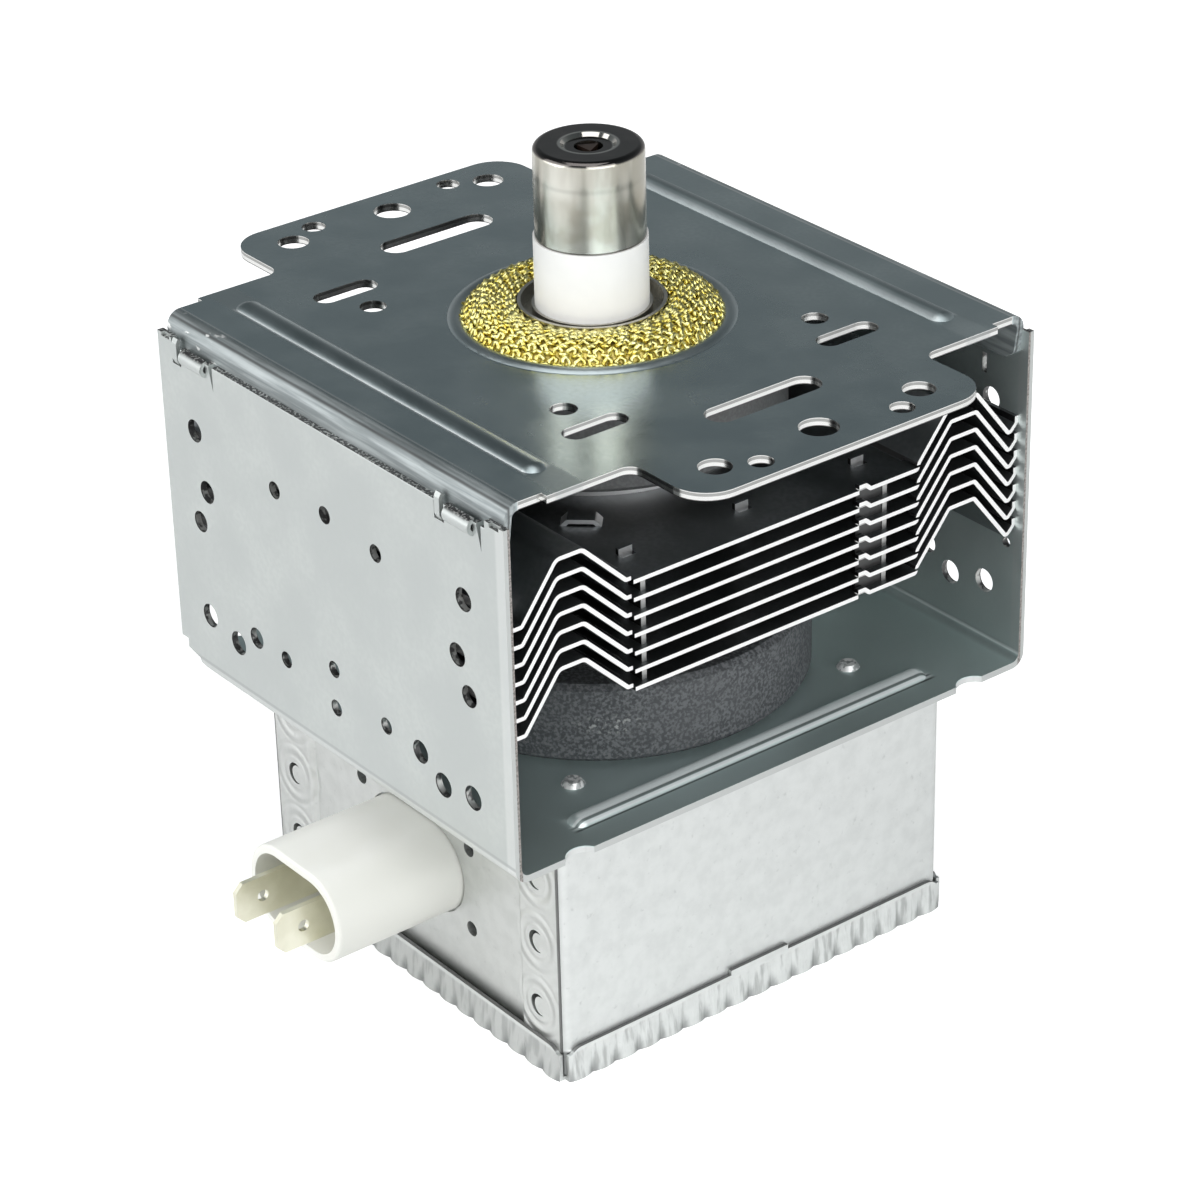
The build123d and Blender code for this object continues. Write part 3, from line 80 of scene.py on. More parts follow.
# Floor, backdrop and lamps
# A white table that runs on to a pale horizon, under a darker ceiling that the metal mirrors.
# Large soft lamps stand at the connector's side, at the open side and overhead.
class Wire:
    """Output of a shader node. Sums and products of wires and numbers add Math nodes."""

    def __init__(self, socket):
        self.socket = socket

    def node(self, kind, settings, inputs, output=0):
        """Adds a node with its settings, then the values or wires of its sockets."""
        made = self.socket.id_data.nodes.new(kind)
        for name, value in settings.items():
            if name == "stops":
                ramp = made.color_ramp.elements
                while len(ramp) < len(value):
                    ramp.new(1.0)
                for stop, (position, colour) in zip(ramp, value):
                    stop.position, stop.color = position, colour
            else:
                setattr(made, name, value)
        for name, value in inputs.items():
            if isinstance(value, Wire):
                self.socket.id_data.links.new(value.socket, made.inputs[name])
            else:
                made.inputs[name].default_value = value
        return Wire(made.outputs[output]) if made.outputs else None

    def math(self, operation, first, second=0.0):
        """One Math node."""
        return self.node("ShaderNodeMath", {"operation": operation}, {0: first, 1: second})

    def __add__(self, other):
        return self.math("ADD", self, other)

    def __sub__(self, other):
        return self.math("SUBTRACT", self, other)

    def __rsub__(self, other):
        return self.math("SUBTRACT", other, self)

    def __mul__(self, other):
        return self.math("MULTIPLY", self, other)

    def __pow__(self, other):
        return self.math("POWER", self, other)

    def __abs__(self):
        return self.math("ABSOLUTE", self)

    __radd__ = __add__
    __rmul__ = __mul__

    def band(self, low, high):
        """0 up to low and 1 from high on, smooth between them; falls instead where low is above high."""
        settings = {"interpolation_type": "SMOOTHSTEP"}
        return self.node("ShaderNodeMapRange", settings, {"Value": self, "From Min": low, "From Max": high})

    def within(self, low, high, soft):
        """1 between low and high and 0 outside them, with both ends softened inwards."""
        return self.band(low, low + soft) * self.band(high, high - soft)

    def near(self, centre, wide, narrow):
        """1 up to narrow from the centre and 0 from wide on."""
        return abs(self - centre).band(wide, narrow)

    def blend(self, first, second):
        """Colour that goes from first to second as this wire goes from 0 to 1."""
        return self.node("ShaderNodeMix", {"data_type": "RGBA"}, {0: self, 6: first, 7: second}, 2)

    def parts(self):
        """Its X, Y and Z."""
        split = self.node("ShaderNodeSeparateXYZ", {}, {"Vector": self}).socket.node
        return [Wire(socket) for socket in split.outputs]

    def noise(self, scale, detail=2.0):
        """Cloudy pattern between 0 and 1, finer with a larger scale."""
        return self.node("ShaderNodeTexNoise", {}, {"Vector": self, "Scale": scale, "Detail": detail})


def grey(shade):
    """Colour from 0, black, to 1, white."""
    return (shade, shade, shade, 1)


def kinds_of_ray(tree):
    """Wires that are 1 for rays from the camera, from shiny metal and through glass."""
    path = tree.nodes.new("ShaderNodeLightPath")
    return [Wire(path.outputs[f"Is {kind} Ray"]) for kind in ("Camera", "Glossy", "Transmission")]


floor_z, floor_half = cad_box[0][2], 12.0
sheet = bmesh.new()
bmesh.ops.create_grid(sheet, x_segments=4, y_segments=4, size=floor_half)
bmesh.ops.translate(sheet, verts=sheet.verts, vec=(0, 0, floor_z))
floor = bpy.data.objects.new("floor", bpy.data.meshes.new("floor"))
sheet.to_mesh(floor.data)
sheet.free()
bpy.context.collection.objects.link(floor)
table_white = bpy.data.materials.new("table_white")
table_white.use_nodes = True
table_white.node_tree.nodes.clear()
ray, glossy, through = kinds_of_ray(table_white.node_tree)
glow_in_metal, glow_near, glow_far = 0.35, 0.6, 1.0
x, y, _ = Wire(table_white.node_tree.nodes.new("ShaderNodeTexCoord").outputs["Object"]).parts()
away_squared = x * x + y * y
# The table's glow is weaker near the object: painted shade round its foot, also where the metal reflects
# it.
glow = away_squared.band(0.5, 12.0) * (glow_far - glow_near) + glow_near
glow = ((ray + glossy * glow_in_metal + through) * glow).blend(grey(0), grey(1))
table_shader = ray.node("ShaderNodeBsdfPrincipled", {}, {
    "Base Color": grey(0.86), "Roughness": 0.9, "Emission Color": glow, "Emission Strength": 1.0,
})
ray.node("ShaderNodeOutputMaterial", {}, {"Surface": table_shader})
floor.data.materials.append(table_white)

world = bpy.data.worlds.new("studio")
world.use_nodes = True
world.node_tree.nodes.clear()
direction = Wire(world.node_tree.nodes.new("ShaderNodeTexCoord").outputs["Generated"])
height = direction.parts()[2]
sky = height.node("ShaderNodeValToRGB", {"stops": (
    (0.0, grey(0.9)),
    (0.1, grey(0.8)),
    (0.35, (0.2, 0.22, 0.23, 1)),
    (0.6, (0.1, 0.115, 0.12, 1)),
    (1.0, (0.04, 0.045, 0.05, 1)),
)}, {"Fac": height})

# A dark screen stands low behind the far corner, for the shiny metal to mirror.
screen_side = (-0.793, 0.609, 0.0)
towards_screen = direction.node(
    "ShaderNodeVectorMath", {"operation": "DOT_PRODUCT"}, {0: direction, 1: screen_side}, 1,
)
dark_screen = towards_screen.band(0.55, 0.95) * height.band(0.3, 0.1)
sky = (dark_screen * 0.7).blend(sky, (0.05, 0.055, 0.06, 1))
ray, glossy, through = kinds_of_ray(world.node_tree)
pale = ray + through + glossy * height.band(0.2, 0.05) * 0.3
backdrop = height.node("ShaderNodeBackground", {}, {"Color": pale.blend(sky, grey(1)), "Strength": 1.0})
height.node("ShaderNodeOutputWorld", {}, {"Surface": backdrop})
bpy.context.scene.world = world


def soft_lamp(name, place, size, power):
    """Square lamp that faces the object."""
    lamp = bpy.data.objects.new(name, bpy.data.lights.new(name, "AREA"))
    lamp.data.shape = "SQUARE"
    lamp.data.size = size
    lamp.data.energy = power
    lamp.location = place
    lamp.rotation_mode = "QUATERNION"
    lamp.rotation_quaternion = (Vector(place) - aim).to_track_quat("Z", "Y")
    bpy.context.collection.objects.link(lamp)


soft_lamp("lamp_connector_side", (-0.7, -1.7, 0.7), size=2.0, power=23.0)
soft_lamp("lamp_open_side", (1.8, -0.35, 0.6), size=2.0, power=31.0)
soft_lamp("lamp_overhead", (0.3, -0.45, 1.7), size=1.6, power=15.0)


# Yoke frame
# Zinc-coated steel strip, folded to a U, with two beads pressed into its floor. The faces are
# satin with a faint cloudy grain. The inner faces carry a painted sheen, and the beads and bends
# painted highlights and painted shade. Its sheared edges and the bores of its holes are partly
# burnished and partly torn, with painted shade on them.
def start_finish(name):
    """New material, and a wire with the object's own coordinates in it."""
    finish = bpy.data.materials.new(name)
    finish.use_nodes = True
    finish.node_tree.nodes.clear()
    return finish, Wire(finish.node_tree.nodes.new("ShaderNodeTexCoord").outputs["Object"])


def facing(place):
    """How far the surface looks along X, Y and Z, each from -1 to 1."""
    return Wire(place.socket.node.outputs["Normal"]).parts()


def end_finish(place, colour, roughness, metallic, relief, depth):
    """Closes a material with a Principled shader and a Bump node of that depth."""
    bump = place.node("ShaderNodeBump", {}, {"Height": relief, "Distance": depth})
    shader = place.node("ShaderNodeBsdfPrincipled", {}, {
        "Base Color": colour, "Roughness": roughness, "Metallic": metallic, "Normal": bump,
    })
    place.node("ShaderNodeOutputMaterial", {}, {"Surface": shader})


def dress(finish, *names):
    """Gives CAD nodes their finish."""
    for name in names:
        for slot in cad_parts[name].material_slots:
            slot.material = finish


def zinc_sheet(place, face, shade, satin):
    """Colour, roughness and relief of zinc-coated sheet, cloudy and finely grained."""
    cloud = place.noise(90.0, 3.0).band(0.35, 0.7)
    grain = place.noise(1500.0, 0.5)
    colour = (grain.band(0.3, 0.7) * 0.45).blend(cloud.blend(shade, face), shade)
    roughness = cloud * 0.06 + grain * 0.08 + satin
    return colour, roughness, grain * 0.3 + place.noise(260.0, 1.0)


sheet_depth = 0.012 * mm
open_end, wall_inner, wall_outer = 40.0 * mm, 44.75 * mm, 45.75 * mm
slit_foot, wall_foot, inner_floor = -7.5 * mm, -53.2 * mm, -54.4 * mm
floor_bead_x, floor_bead_end = 33.7 * mm, 32.0 * mm
bead_flank, bead_foot = 1.05 * mm, 2.0 * mm

frame_zinc, place = start_finish("frame_zinc")
x, y, z = place.parts()
face_x, face_y, face_z = [abs(part) for part in facing(place)]
colour, roughness, relief = zinc_sheet(place, (0.6, 0.63, 0.615, 1), (0.55, 0.58, 0.57, 1), 0.3)
in_wall = abs(y).band(wall_inner - 0.25 * mm, wall_inner - 0.05 * mm)
above_floor = z.band(inner_floor - 0.2 * mm, inner_floor - 0.1 * mm)
inside = abs(y).band(wall_inner + 0.03 * mm, wall_inner - 0.03 * mm) * above_floor
# The inner faces are painted paler and bluer, a painted sheen.
colour = inside.blend(colour, (0.62, 0.74, 0.73, 1))
relief = relief * (1 - inside * 0.5)

# Each bead carries a painted highlight along its top. Along its outer flank runs a painted shade line with
# a painted highlight line on both sides, and another painted shade line runs at its foot.
from_bead = abs(x) - floor_bead_x
along_bead = abs(y).band(floor_bead_end + 1.0 * mm, floor_bead_end - 0.5 * mm)
on_floor = z.band(inner_floor + 4.4 * mm, inner_floor + 3.9 * mm) * inside * along_bead
crown = from_bead.band(-2.1 * mm, -1.3 * mm) * from_bead.band(2.0 * mm, 1.6 * mm) * on_floor
flank_highlight = abs(from_bead - bead_flank).near(0.4 * mm, 0.25 * mm, 0.1 * mm)
flank_and_foot_shade = from_bead.near(bead_flank, 0.25 * mm, 0.1 * mm) + from_bead.near(bead_foot, 0.3 * mm, 0.1 * mm)
colour = (crown * 0.5).blend(colour, (0.85, 0.95, 0.94, 1))
colour = (flank_highlight * on_floor).blend(colour, (0.95, 1, 1, 1))
colour = (flank_and_foot_shade * on_floor * 0.85).blend(colour, (0.12, 0.14, 0.14, 1))

# Outside, the lower bend and the wall's +X end carry a painted highlight, with a painted shade line above
# the bend. Inside, a painted highlight runs along the corner.
bend_and_end_highlight = z.band(wall_foot + 0.2 * mm, wall_foot - 0.3 * mm) + x.band(open_end - 2.1 * mm, open_end - 1.5 * mm)
bend_shade_line = z.within(wall_foot - 0.2 * mm, wall_foot + 0.6 * mm, 0.3 * mm)
corner_highlight = z.within(wall_foot - 0.4 * mm, wall_foot + 0.3 * mm, 0.2 * mm) * inside
colour = (bend_and_end_highlight * 0.6 * (1 - inside)).blend(colour, (0.72, 0.74, 0.73, 1))
colour = (bend_shade_line * 0.6 * (1 - inside)).blend(colour, (0.4, 0.42, 0.42, 1))
colour = (corner_highlight * 0.7).blend(colour, (0.95, 1, 1, 1))

# Sheared ends at the open sides: the floor's and the outer part of the walls' are burnished. The inner part
# of the walls' is torn and painted dark, partly torn steel and partly painted shade.
torn = place.noise(2600.0, 3.0)
sheared = face_x.band(0.75, 0.95) * abs(x).band(open_end - 1.0 * mm, open_end - 0.6 * mm)
outer_part = abs(y).band(wall_inner + 0.3 * mm, wall_inner + 0.45 * mm)
burnished = sheared * (1 - in_wall + outer_part).band(0.2, 0.8)
colour = sheared.blend(colour, torn.band(0.35, 0.65).blend((0.2, 0.19, 0.18, 1), (0.42, 0.39, 0.37, 1)))
colour = burnished.blend(colour, (0.56, 0.58, 0.57, 1))
roughness = roughness * (1 - sheared) + sheared * 0.45

# Bores of the wall's holes, mottled, with a painted shade rim at the outer face, and the wall's upper
# edges, painted nearly black as painted shade with light flecks.
bore = face_y.band(0.5, 0.2) * in_wall * abs(x).band(open_end - 0.6 * mm, open_end - 1.0 * mm)
bore = bore * z.band(wall_foot - 0.4 * mm, wall_foot) * z.band(slit_foot - 0.1 * mm, slit_foot - 0.5 * mm)
bore_grey = place.noise(900.0, 2.0).band(0.44, 0.58).blend(grey(0.12), (0.6, 0.61, 0.59, 1))
bore_grey = abs(y).band(wall_outer - 0.25 * mm, wall_outer - 0.1 * mm).blend(bore_grey, grey(0.1))
colour = bore.blend(colour, bore_grey)
lip = face_z.band(0.6, 0.9) * in_wall * z.band(slit_foot - 0.5 * mm, slit_foot + 1.5 * mm)
colour = lip.blend(colour, torn.band(0.5, 0.62).blend(grey(0.09), (0.6, 0.6, 0.58, 1)))
end_finish(place, colour, roughness, 0.8 - crown * 0.2 - corner_highlight * 0.3, relief, sheet_depth)
dress(frame_zinc, "yoke_frame")


# Mounting plate
# Heavier zinc-coated sheet, blue-grey and smoother than the frame, punched and pressed. Its
# sheared edges are bright, with painted highlights and painted shade on them, and the bends along both
# walls are rougher, streaky and painted darker as painted shade.
def stretched(place, x, y, z):
    """The coordinates multiplied, so that a pattern on them grows long where the factor is small."""
    return place.node("ShaderNodeVectorMath", {"operation": "MULTIPLY"}, {0: place, 1: (x, y, z)})


plate_under, plate_bend = -1.2 * mm, 42.55 * mm
plate_bead_y, plate_bead_end = 35.2 * mm, 34.25 * mm
lip_r = 19.0 * mm

plate_zinc, place = start_finish("plate_zinc")
x, y, z = place.parts()
face_z = abs(facing(place)[2])
from_middle = abs(y)
colour, roughness, relief = zinc_sheet(place, (0.54, 0.62, 0.63, 1), (0.46, 0.54, 0.555, 1), 0.16)

# Along each bend: streaks painted darker as painted shade, a painted highlight line where the flat ends, a
# painted shade line further down, and some flaked zinc.
streak = stretched(place, 0.05, 1.0, 1.0).noise(1500.0, 3.0)
bend = from_middle.band(plate_bend - 0.05 * mm, plate_bend + 0.55 * mm)
fold_highlight = from_middle.within(plate_bend - 0.35 * mm, plate_bend + 0.2 * mm, 0.25 * mm)
crease_shade = from_middle.within(plate_bend + 1.15 * mm, plate_bend + 1.7 * mm, 0.25 * mm)
flake = stretched(place, 0.4, 1.0, 1.0).noise(700.0, 3.0).band(0.6, 0.66)
flake = flake * from_middle.band(plate_bend - 0.15 * mm, plate_bend + 0.45 * mm)
flake = flake * x.band(-18.0 * mm, -27.0 * mm)
colour = bend.blend(colour, streak.band(0.35, 0.7).blend((0.3, 0.33, 0.335, 1), (0.5, 0.54, 0.545, 1)))
colour = (fold_highlight * 0.8).blend(colour, (0.85, 0.87, 0.86, 1))
colour = (crease_shade * 0.7).blend(colour, grey(0.08))
colour = flake.blend(colour, (0.85, 0.86, 0.85, 1))

# Sheared edges: grey above as painted shade and bright below, with a painted highlight rim on top and a
# painted shade rim underneath.
cut = face_z.band(0.45, 0.2) * z.band(plate_under - 0.1 * mm, plate_under - 0.02 * mm)
cut = cut * from_middle.band(plate_bend + 0.05 * mm, plate_bend - 0.15 * mm)
lower_part = z.band(-0.5 * mm, -0.6 * mm) + place.noise(900.0, 2.0) * 0.3
edge = lower_part.band(0.1, 1.0).blend((0.42, 0.42, 0.41, 1), (0.9, 0.9, 0.88, 1))
edge = z.band(-0.16 * mm, -0.08 * mm).blend(edge, (0.9, 0.9, 0.88, 1))
edge = z.band(plate_under + 0.16 * mm, plate_under + 0.08 * mm).blend(edge, grey(0.08))
colour = cut.blend(colour, edge)

# Two pressed beads with painted highlights along their shoulders and a painted shade line in their middle.
# The beads and the lip round the gasket are also painted darker, a painted shade.
from_bead = from_middle - plate_bead_y
on_bead = abs(x).band(plate_bead_end - 0.25 * mm, plate_bead_end - 1.25 * mm)
beaded = from_bead.within(-2.6 * mm, 2.6 * mm, 0.8 * mm)
shoulder_highlight = from_bead.near(-1.5 * mm, 0.7 * mm, 0.2 * mm) + from_bead.near(1.9 * mm, 0.35 * mm, 0.1 * mm)
shoulder_highlight = shoulder_highlight * on_bead * (0.8 - y.band(-5 * mm, 5 * mm) * 0.4)
trough_shade = from_bead.near(0.5 * mm, 1.3 * mm, 0.7 * mm)
reach = (x * x + y * y) ** 0.5
lipped = reach.within(lip_r - 1.3 * mm, lip_r + 1.4 * mm, 0.5 * mm)
colour = (lipped * 0.5 + beaded * 0.3).blend(colour, (0.34, 0.38, 0.39, 1))
colour = shoulder_highlight.blend(colour, (0.92, 0.96, 0.97, 1))
colour = (trough_shade * on_bead * 0.6).blend(colour, (0.2, 0.24, 0.25, 1))
roughness = roughness + bend * 0.32 + (beaded + lipped) * 0.14 + y.band(5.0 * mm, 40.0 * mm) * 0.14
end_finish(place, colour, roughness, 1.0, relief, sheet_depth)
dress(plate_zinc, "yoke_top_plate")


# Cooling fins
# Thin sheet aluminium, pressed. The sheared front edges catch the light as white lines, and
# the faces behind them are painted dark, a painted shade between the close-set fins.
fin_edge, spacer_front = 38.4 * mm, 37.4 * mm
flat_half_y, behind_spacers = 22.9 * mm, 34.1 * mm

fin_sheet, place = start_finish("fin_aluminium")
x, y, _ = place.parts()
face_x, face_y, face_z = [abs(part) for part in facing(place)]
# The aluminium is painted dark grey, painted shade.
colour, roughness, relief = zinc_sheet(place, (0.25, 0.26, 0.27, 1), (0.17, 0.18, 0.185, 1), 0.36)

# The ramps of nibs and bridges carry a painted highlight, and upright faces painted shade.
ramp_highlight = face_z.band(0.97, 0.9) * abs(y).band(flat_half_y + 0.1 * mm, flat_half_y - 0.1 * mm)
colour = (ramp_highlight * 0.85).blend(colour, grey(0.9))
colour = face_y.band(0.85, 0.95).blend(colour, grey(0.07))

# Faces that look along X: painted shade behind, grey on the spacers' fronts, a painted glint on
# the lanced tabs, and white and less metallic along the sheared edges.
endways = face_x.band(0.75, 0.95)
spacer = abs(x).band(spacer_front - 0.07 * mm, spacer_front - 0.03 * mm)
colour = endways.blend(colour, spacer.blend(grey(0.11), (0.55, 0.55, 0.54, 1)))
tab = endways * abs(x).band(behind_spacers + 0.1 * mm, behind_spacers - 0.1 * mm)
colour = tab.blend(colour, grey(0.9))
cut = endways * abs(x).band(fin_edge - 0.6 * mm, fin_edge - 0.5 * mm)
colour = cut.blend(colour, (0.93, 0.93, 0.92, 1))
roughness = roughness * (1 - cut) + cut * 0.5
end_finish(place, colour, roughness, 1 - cut * 0.5, relief, sheet_depth)
dress(fin_sheet, *[f"cooling_fin_{number}" for number in range(1, 8)])


# Ring magnets
# Sintered ferrite, ground on both flat faces: almost black, matt and finely speckled. The upper
# ring is a lighter grey, and the lower one has a light scuff on its rim.
scuff_y, scuff_z, scuff_r = -17.5 * mm, -48.2 * mm, 5.5 * mm

ferrite, place = start_finish("ferrite_magnet")
x, y, z = place.parts()
speckle = place.noise(2100.0, 3.0)
smear = place.noise(70.0, 2.0).band(0.4, 0.75)
colour = speckle.band(0.4, 0.64).blend((0.04, 0.044, 0.048, 1), (0.125, 0.133, 0.14, 1))
colour = (smear * 0.4).blend(colour, (0.09, 0.095, 0.1, 1))
across, along = y - scuff_y, z - scuff_z
from_scuff = (across * across + along * along * 6) ** 0.5
scuffed = place.noise(1500.0, 4.0).band(0.52, 0.66) * from_scuff.band(scuff_r, 1.0 * mm)
colour = (scuffed * x.band(15 * mm, 20 * mm) * 0.7).blend(colour, (0.4, 0.42, 0.41, 1))
upper_ring = z.band(-20.0 * mm, -16.0 * mm)
colour = (upper_ring * 0.6).blend(colour, (0.15, 0.152, 0.15, 1))
end_finish(place, colour, 0.55 + speckle * 0.2, 0.0, speckle, 0.05 * mm)
dress(ferrite, "upper_magnet", "lower_magnet")


# Anode, vacuum envelope and cathode
# Copper anode with its vanes, straps and leads, iron pole pieces, drawn steel flanges and the
# grey metals of the cathode. All of it is brazed together and hidden by fins and magnets.
def plain_metal(name, face, shade, satin):
    """Finish of a metal piece with faint clouds and a fine grain."""
    finish, place = start_finish(name)
    grain = place.noise(1800.0, 2.0)
    colour = place.noise(180.0, 3.0).band(0.35, 0.7).blend(shade, face)
    end_finish(place, colour, grain * 0.12 + satin, 1.0, grain, 0.01 * mm)
    return finish


copper = plain_metal("copper", (0.72, 0.33, 0.2, 1), (0.55, 0.24, 0.14, 1), 0.28)
straps = [f"strap_ring_{level}_{ring}" for level in ("upper", "lower") for ring in ("inner", "outer")]
vanes = [f"anode_vane_{number:02d}" for number in range(1, 11)]
dress(copper, "antenna_lead", *straps, *vanes)
# The anode's outside is painted dark grey-brown, painted shade between the fins.
copper_painted_dark = plain_metal("copper_painted_dark", (0.36, 0.34, 0.32, 1), (0.26, 0.25, 0.24, 1), 0.24)
dress(copper_painted_dark, "anode_cylinder")
pinched_copper = plain_metal("pinched_copper", (0.14, 0.09, 0.07, 1), (0.08, 0.055, 0.045, 1), 0.35)
dress(pinched_copper, "exhaust_tube")
pole_iron = plain_metal("pole_iron", grey(0.4), (0.3, 0.3, 0.31, 1), 0.35)
dress(pole_iron, "pole_piece_upper", "pole_piece_lower")
envelope = plain_metal("envelope_steel", (0.58, 0.56, 0.5, 1), (0.45, 0.44, 0.4, 1), 0.26)
dress(envelope, "seal_flange_upper", "seal_flange_lower", "antenna_seat")
cathode = plain_metal("cathode_metal", (0.32, 0.32, 0.34, 1), (0.2, 0.2, 0.22, 1), 0.4)
dress(cathode, "cathode_filament", "cathode_lead_centre", "cathode_lead_side")
dress(cathode, "end_hat_upper", "end_hat_lower")


# Antenna ceramic and stem ceramic
# Tubes of white alumina, pressed, fired and ground, with metal brazed to their ends. They are
# matt, with the faintest cloud in the white.
alumina, place = start_finish("alumina")
cloud = place.noise(220.0, 3.0)
colour = cloud.band(0.3, 0.75).blend((0.88, 0.88, 0.875, 1), (0.91, 0.91, 0.905, 1))
end_finish(place, colour, 0.42 + cloud * 0.12, 0.0, place.noise(1200.0), 0.012 * mm)
dress(alumina, "antenna_insulator", "stem_insulator")


# Antenna cap
# Cup drawn from steel, nickel-bright, pushed over the pinched copper tube. Its side shows a
# faint drawn ring with a painted shade line on it, and is darker and blotchy below it. Its top is painted
# nearly black, a painted reflection, with a painted highlight round its sunk middle.
drawn_ring_z, cap_foot, dimple_r = 20.9 * mm, 12.0 * mm, 3.9 * mm

cap_steel, place = start_finish("cap_steel")
x, y, z = place.parts()
upwards = stretched(place, 1.0, 1.0, 0.22)
smear = upwards.noise(200.0, 3.0).band(0.38, 0.66)
colour = smear.blend((0.46, 0.44, 0.375, 1), (0.8, 0.785, 0.715, 1))
# Below the drawn ring the side is darker and blotchy.
blotch = place.noise(150.0, 3.0).band(0.42, 0.62)
darker_below_ring = z.band(drawn_ring_z - 0.3 * mm, drawn_ring_z - 2.9 * mm) * (0.25 + blotch * 0.5)
colour = darker_below_ring.blend(colour, (0.44, 0.41, 0.33, 1))
# A painted shade line along the drawn ring.
colour = (z.near(drawn_ring_z, 0.45 * mm, 0.1 * mm) * 0.2).blend(colour, (0.35, 0.33, 0.28, 1))
# The top and its rounded edge are painted nearly black, a painted reflection.
top = facing(place)[2].band(0.2, 0.55)
colour = top.blend(colour, (0.13, 0.12, 0.115, 1))
# A painted highlight rings the sunk middle.
reach = (x * x + y * y) ** 0.5
dimple_rim_highlight = reach.within(dimple_r - 0.8 * mm, dimple_r + 0.5 * mm, 0.3 * mm) * top
colour = dimple_rim_highlight.blend(colour, (0.6, 0.58, 0.54, 1))
colour = z.band(cap_foot + 0.1 * mm, cap_foot).blend(colour, (0.2, 0.19, 0.17, 1))
relief = z.band(drawn_ring_z - 0.7 * mm, drawn_ring_z + 0.9 * mm) * 0.7 + upwards.noise(300.0) * 0.5
end_finish(place, colour, smear * 0.1 + 0.17 - top * 0.08, 1.0, relief, 0.025 * mm)
dress(cap_steel, "antenna_cap")


# Knitted gasket
# A sleeve knitted from bright brass wire and rolled into a flat ring round the ceramic. It
# presses against the wave guide. Courses of loops run round it, over a tangled core painted dark brass in
# places, partly painted shade between the loops.
ring_outer, ring_inner = 17.7 * mm, 10.9 * mm
crown_r, crown_z = 13.9 * mm, 2.85 * mm
outer_drop, inner_drop, past_edge = 2.1 * mm, 0.75 * mm, 1.1
wire_r = 0.36 * mm
course_gap, stitch, loop_points = 1.1 * mm, 1.9 * mm, 8
loop_reach, loop_sway, loop_lift = 0.4 * mm, 0.17 * stitch, 0.26 * mm


def gasket_top(radius):
    """Height of the rolled ring's upper side at a radius."""
    edge, drop = (ring_inner, inner_drop) if radius < crown_r else (ring_outer, outer_drop)
    return crown_z - drop * min((radius - crown_r) / (edge - crown_r), past_edge) ** 2


# Each course is a wavy ring of wire. Its loops reach in and out once and sway and lift twice, and
# every point is a little off, as in real knitting.
loose = random.Random(5)
knit_path = bpy.data.curves.new("gasket_knit", "CURVE")
knit_path.dimensions = "3D"
knit_path.bevel_depth = wire_r
knit_path.bevel_resolution = 0
course_r = ring_inner + 0.2 * mm
while course_r < ring_outer + 0.1 * mm:
    steps = loop_points * round(2 * math.pi * course_r / stitch)
    course = knit_path.splines.new("POLY")
    course.points.add(steps - 1)
    course.use_cyclic_u = True
    start = loose.uniform(0, 2 * math.pi)
    for step, point in enumerate(course.points):
        phase = 2 * math.pi * step / loop_points
        sway = loop_sway * math.sin(2 * phase) + loose.gauss(0, 0.09) * mm
        radius = course_r + loop_reach * math.cos(phase) + loose.gauss(0, 0.08) * mm
        angle = start + 2 * math.pi * step / steps + sway / course_r
        lift = loop_lift * math.cos(2 * phase) + loose.gauss(0, 0.08) * mm
        wire_z = gasket_top(radius) - wire_r + lift
        point.co = (radius * math.cos(angle), radius * math.sin(angle), wire_z, 1)
    course_r += course_gap
knit_curve = bpy.data.objects.new("gasket_knit_path", knit_path)
bpy.context.collection.objects.link(knit_curve)
bpy.context.view_layer.update()
evaluated = knit_curve.evaluated_get(bpy.context.evaluated_depsgraph_get())
knit_mesh = bpy.data.meshes.new_from_object(evaluated)
bpy.data.objects.remove(knit_curve)
knit = bpy.data.objects.new("gasket_knit", knit_mesh)
knit_mesh.name = "gasket_knit"
knit_mesh.materials.clear()
bpy.context.collection.objects.link(knit)
brass, place = start_finish("brass_knit")
glint = place.noise(700.0, 2.0)
colour = glint.band(0.3, 0.65).blend((0.8, 0.67, 0.15, 1), (1, 0.95, 0.44, 1))
end_finish(place, colour, 0.22 + glint * 0.15, 1.0, glint, 0.03 * mm)
knit_mesh.materials.append(brass)
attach(knit, "root")
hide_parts("gasket_mesh")

# The core lies just under the wires, a closed profile spun round the antenna's axis.
core_foot, core_steps = 0.12 * mm, 8
under_wire = 1.3 * wire_r + 0.25 * mm
profile = [(ring_outer, core_foot)]
for step in range(core_steps + 1):
    radius = ring_outer - step * (ring_outer - ring_inner) / core_steps
    profile.append((radius, gasket_top(radius) - under_wire))
profile.append((ring_inner, core_foot))
roll = bmesh.new()
rim = [roll.verts.new((radius, 0, rim_z)) for radius, rim_z in profile]
sides = [roll.edges.new(pair) for pair in zip(rim, rim[1:] + rim[:1])]
bmesh.ops.spin(
    roll, geom=rim + sides, axis=(0, 0, 1), cent=(0, 0, 0), steps=72, angle=2 * math.pi, use_merge=True,
)
bmesh.ops.remove_doubles(roll, verts=roll.verts, dist=0.001 * mm)
bmesh.ops.recalc_face_normals(roll, faces=roll.faces)
core = bpy.data.objects.new("gasket_core", bpy.data.meshes.new("gasket_core"))
roll.to_mesh(core.data)
roll.free()
bpy.context.collection.objects.link(core)
tangle, place = start_finish("brass_tangle")
knot = place.noise(1100.0, 2.0)
# The core's darker brass is partly painted shade between the loops.
colour = knot.band(0.3, 0.6).blend((0.2, 0.15, 0.03, 1), (0.85, 0.72, 0.24, 1))
end_finish(place, colour, 0.5, 0.7, knot, 0.2 * mm)
core.data.materials.append(tangle)
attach(core, "root")


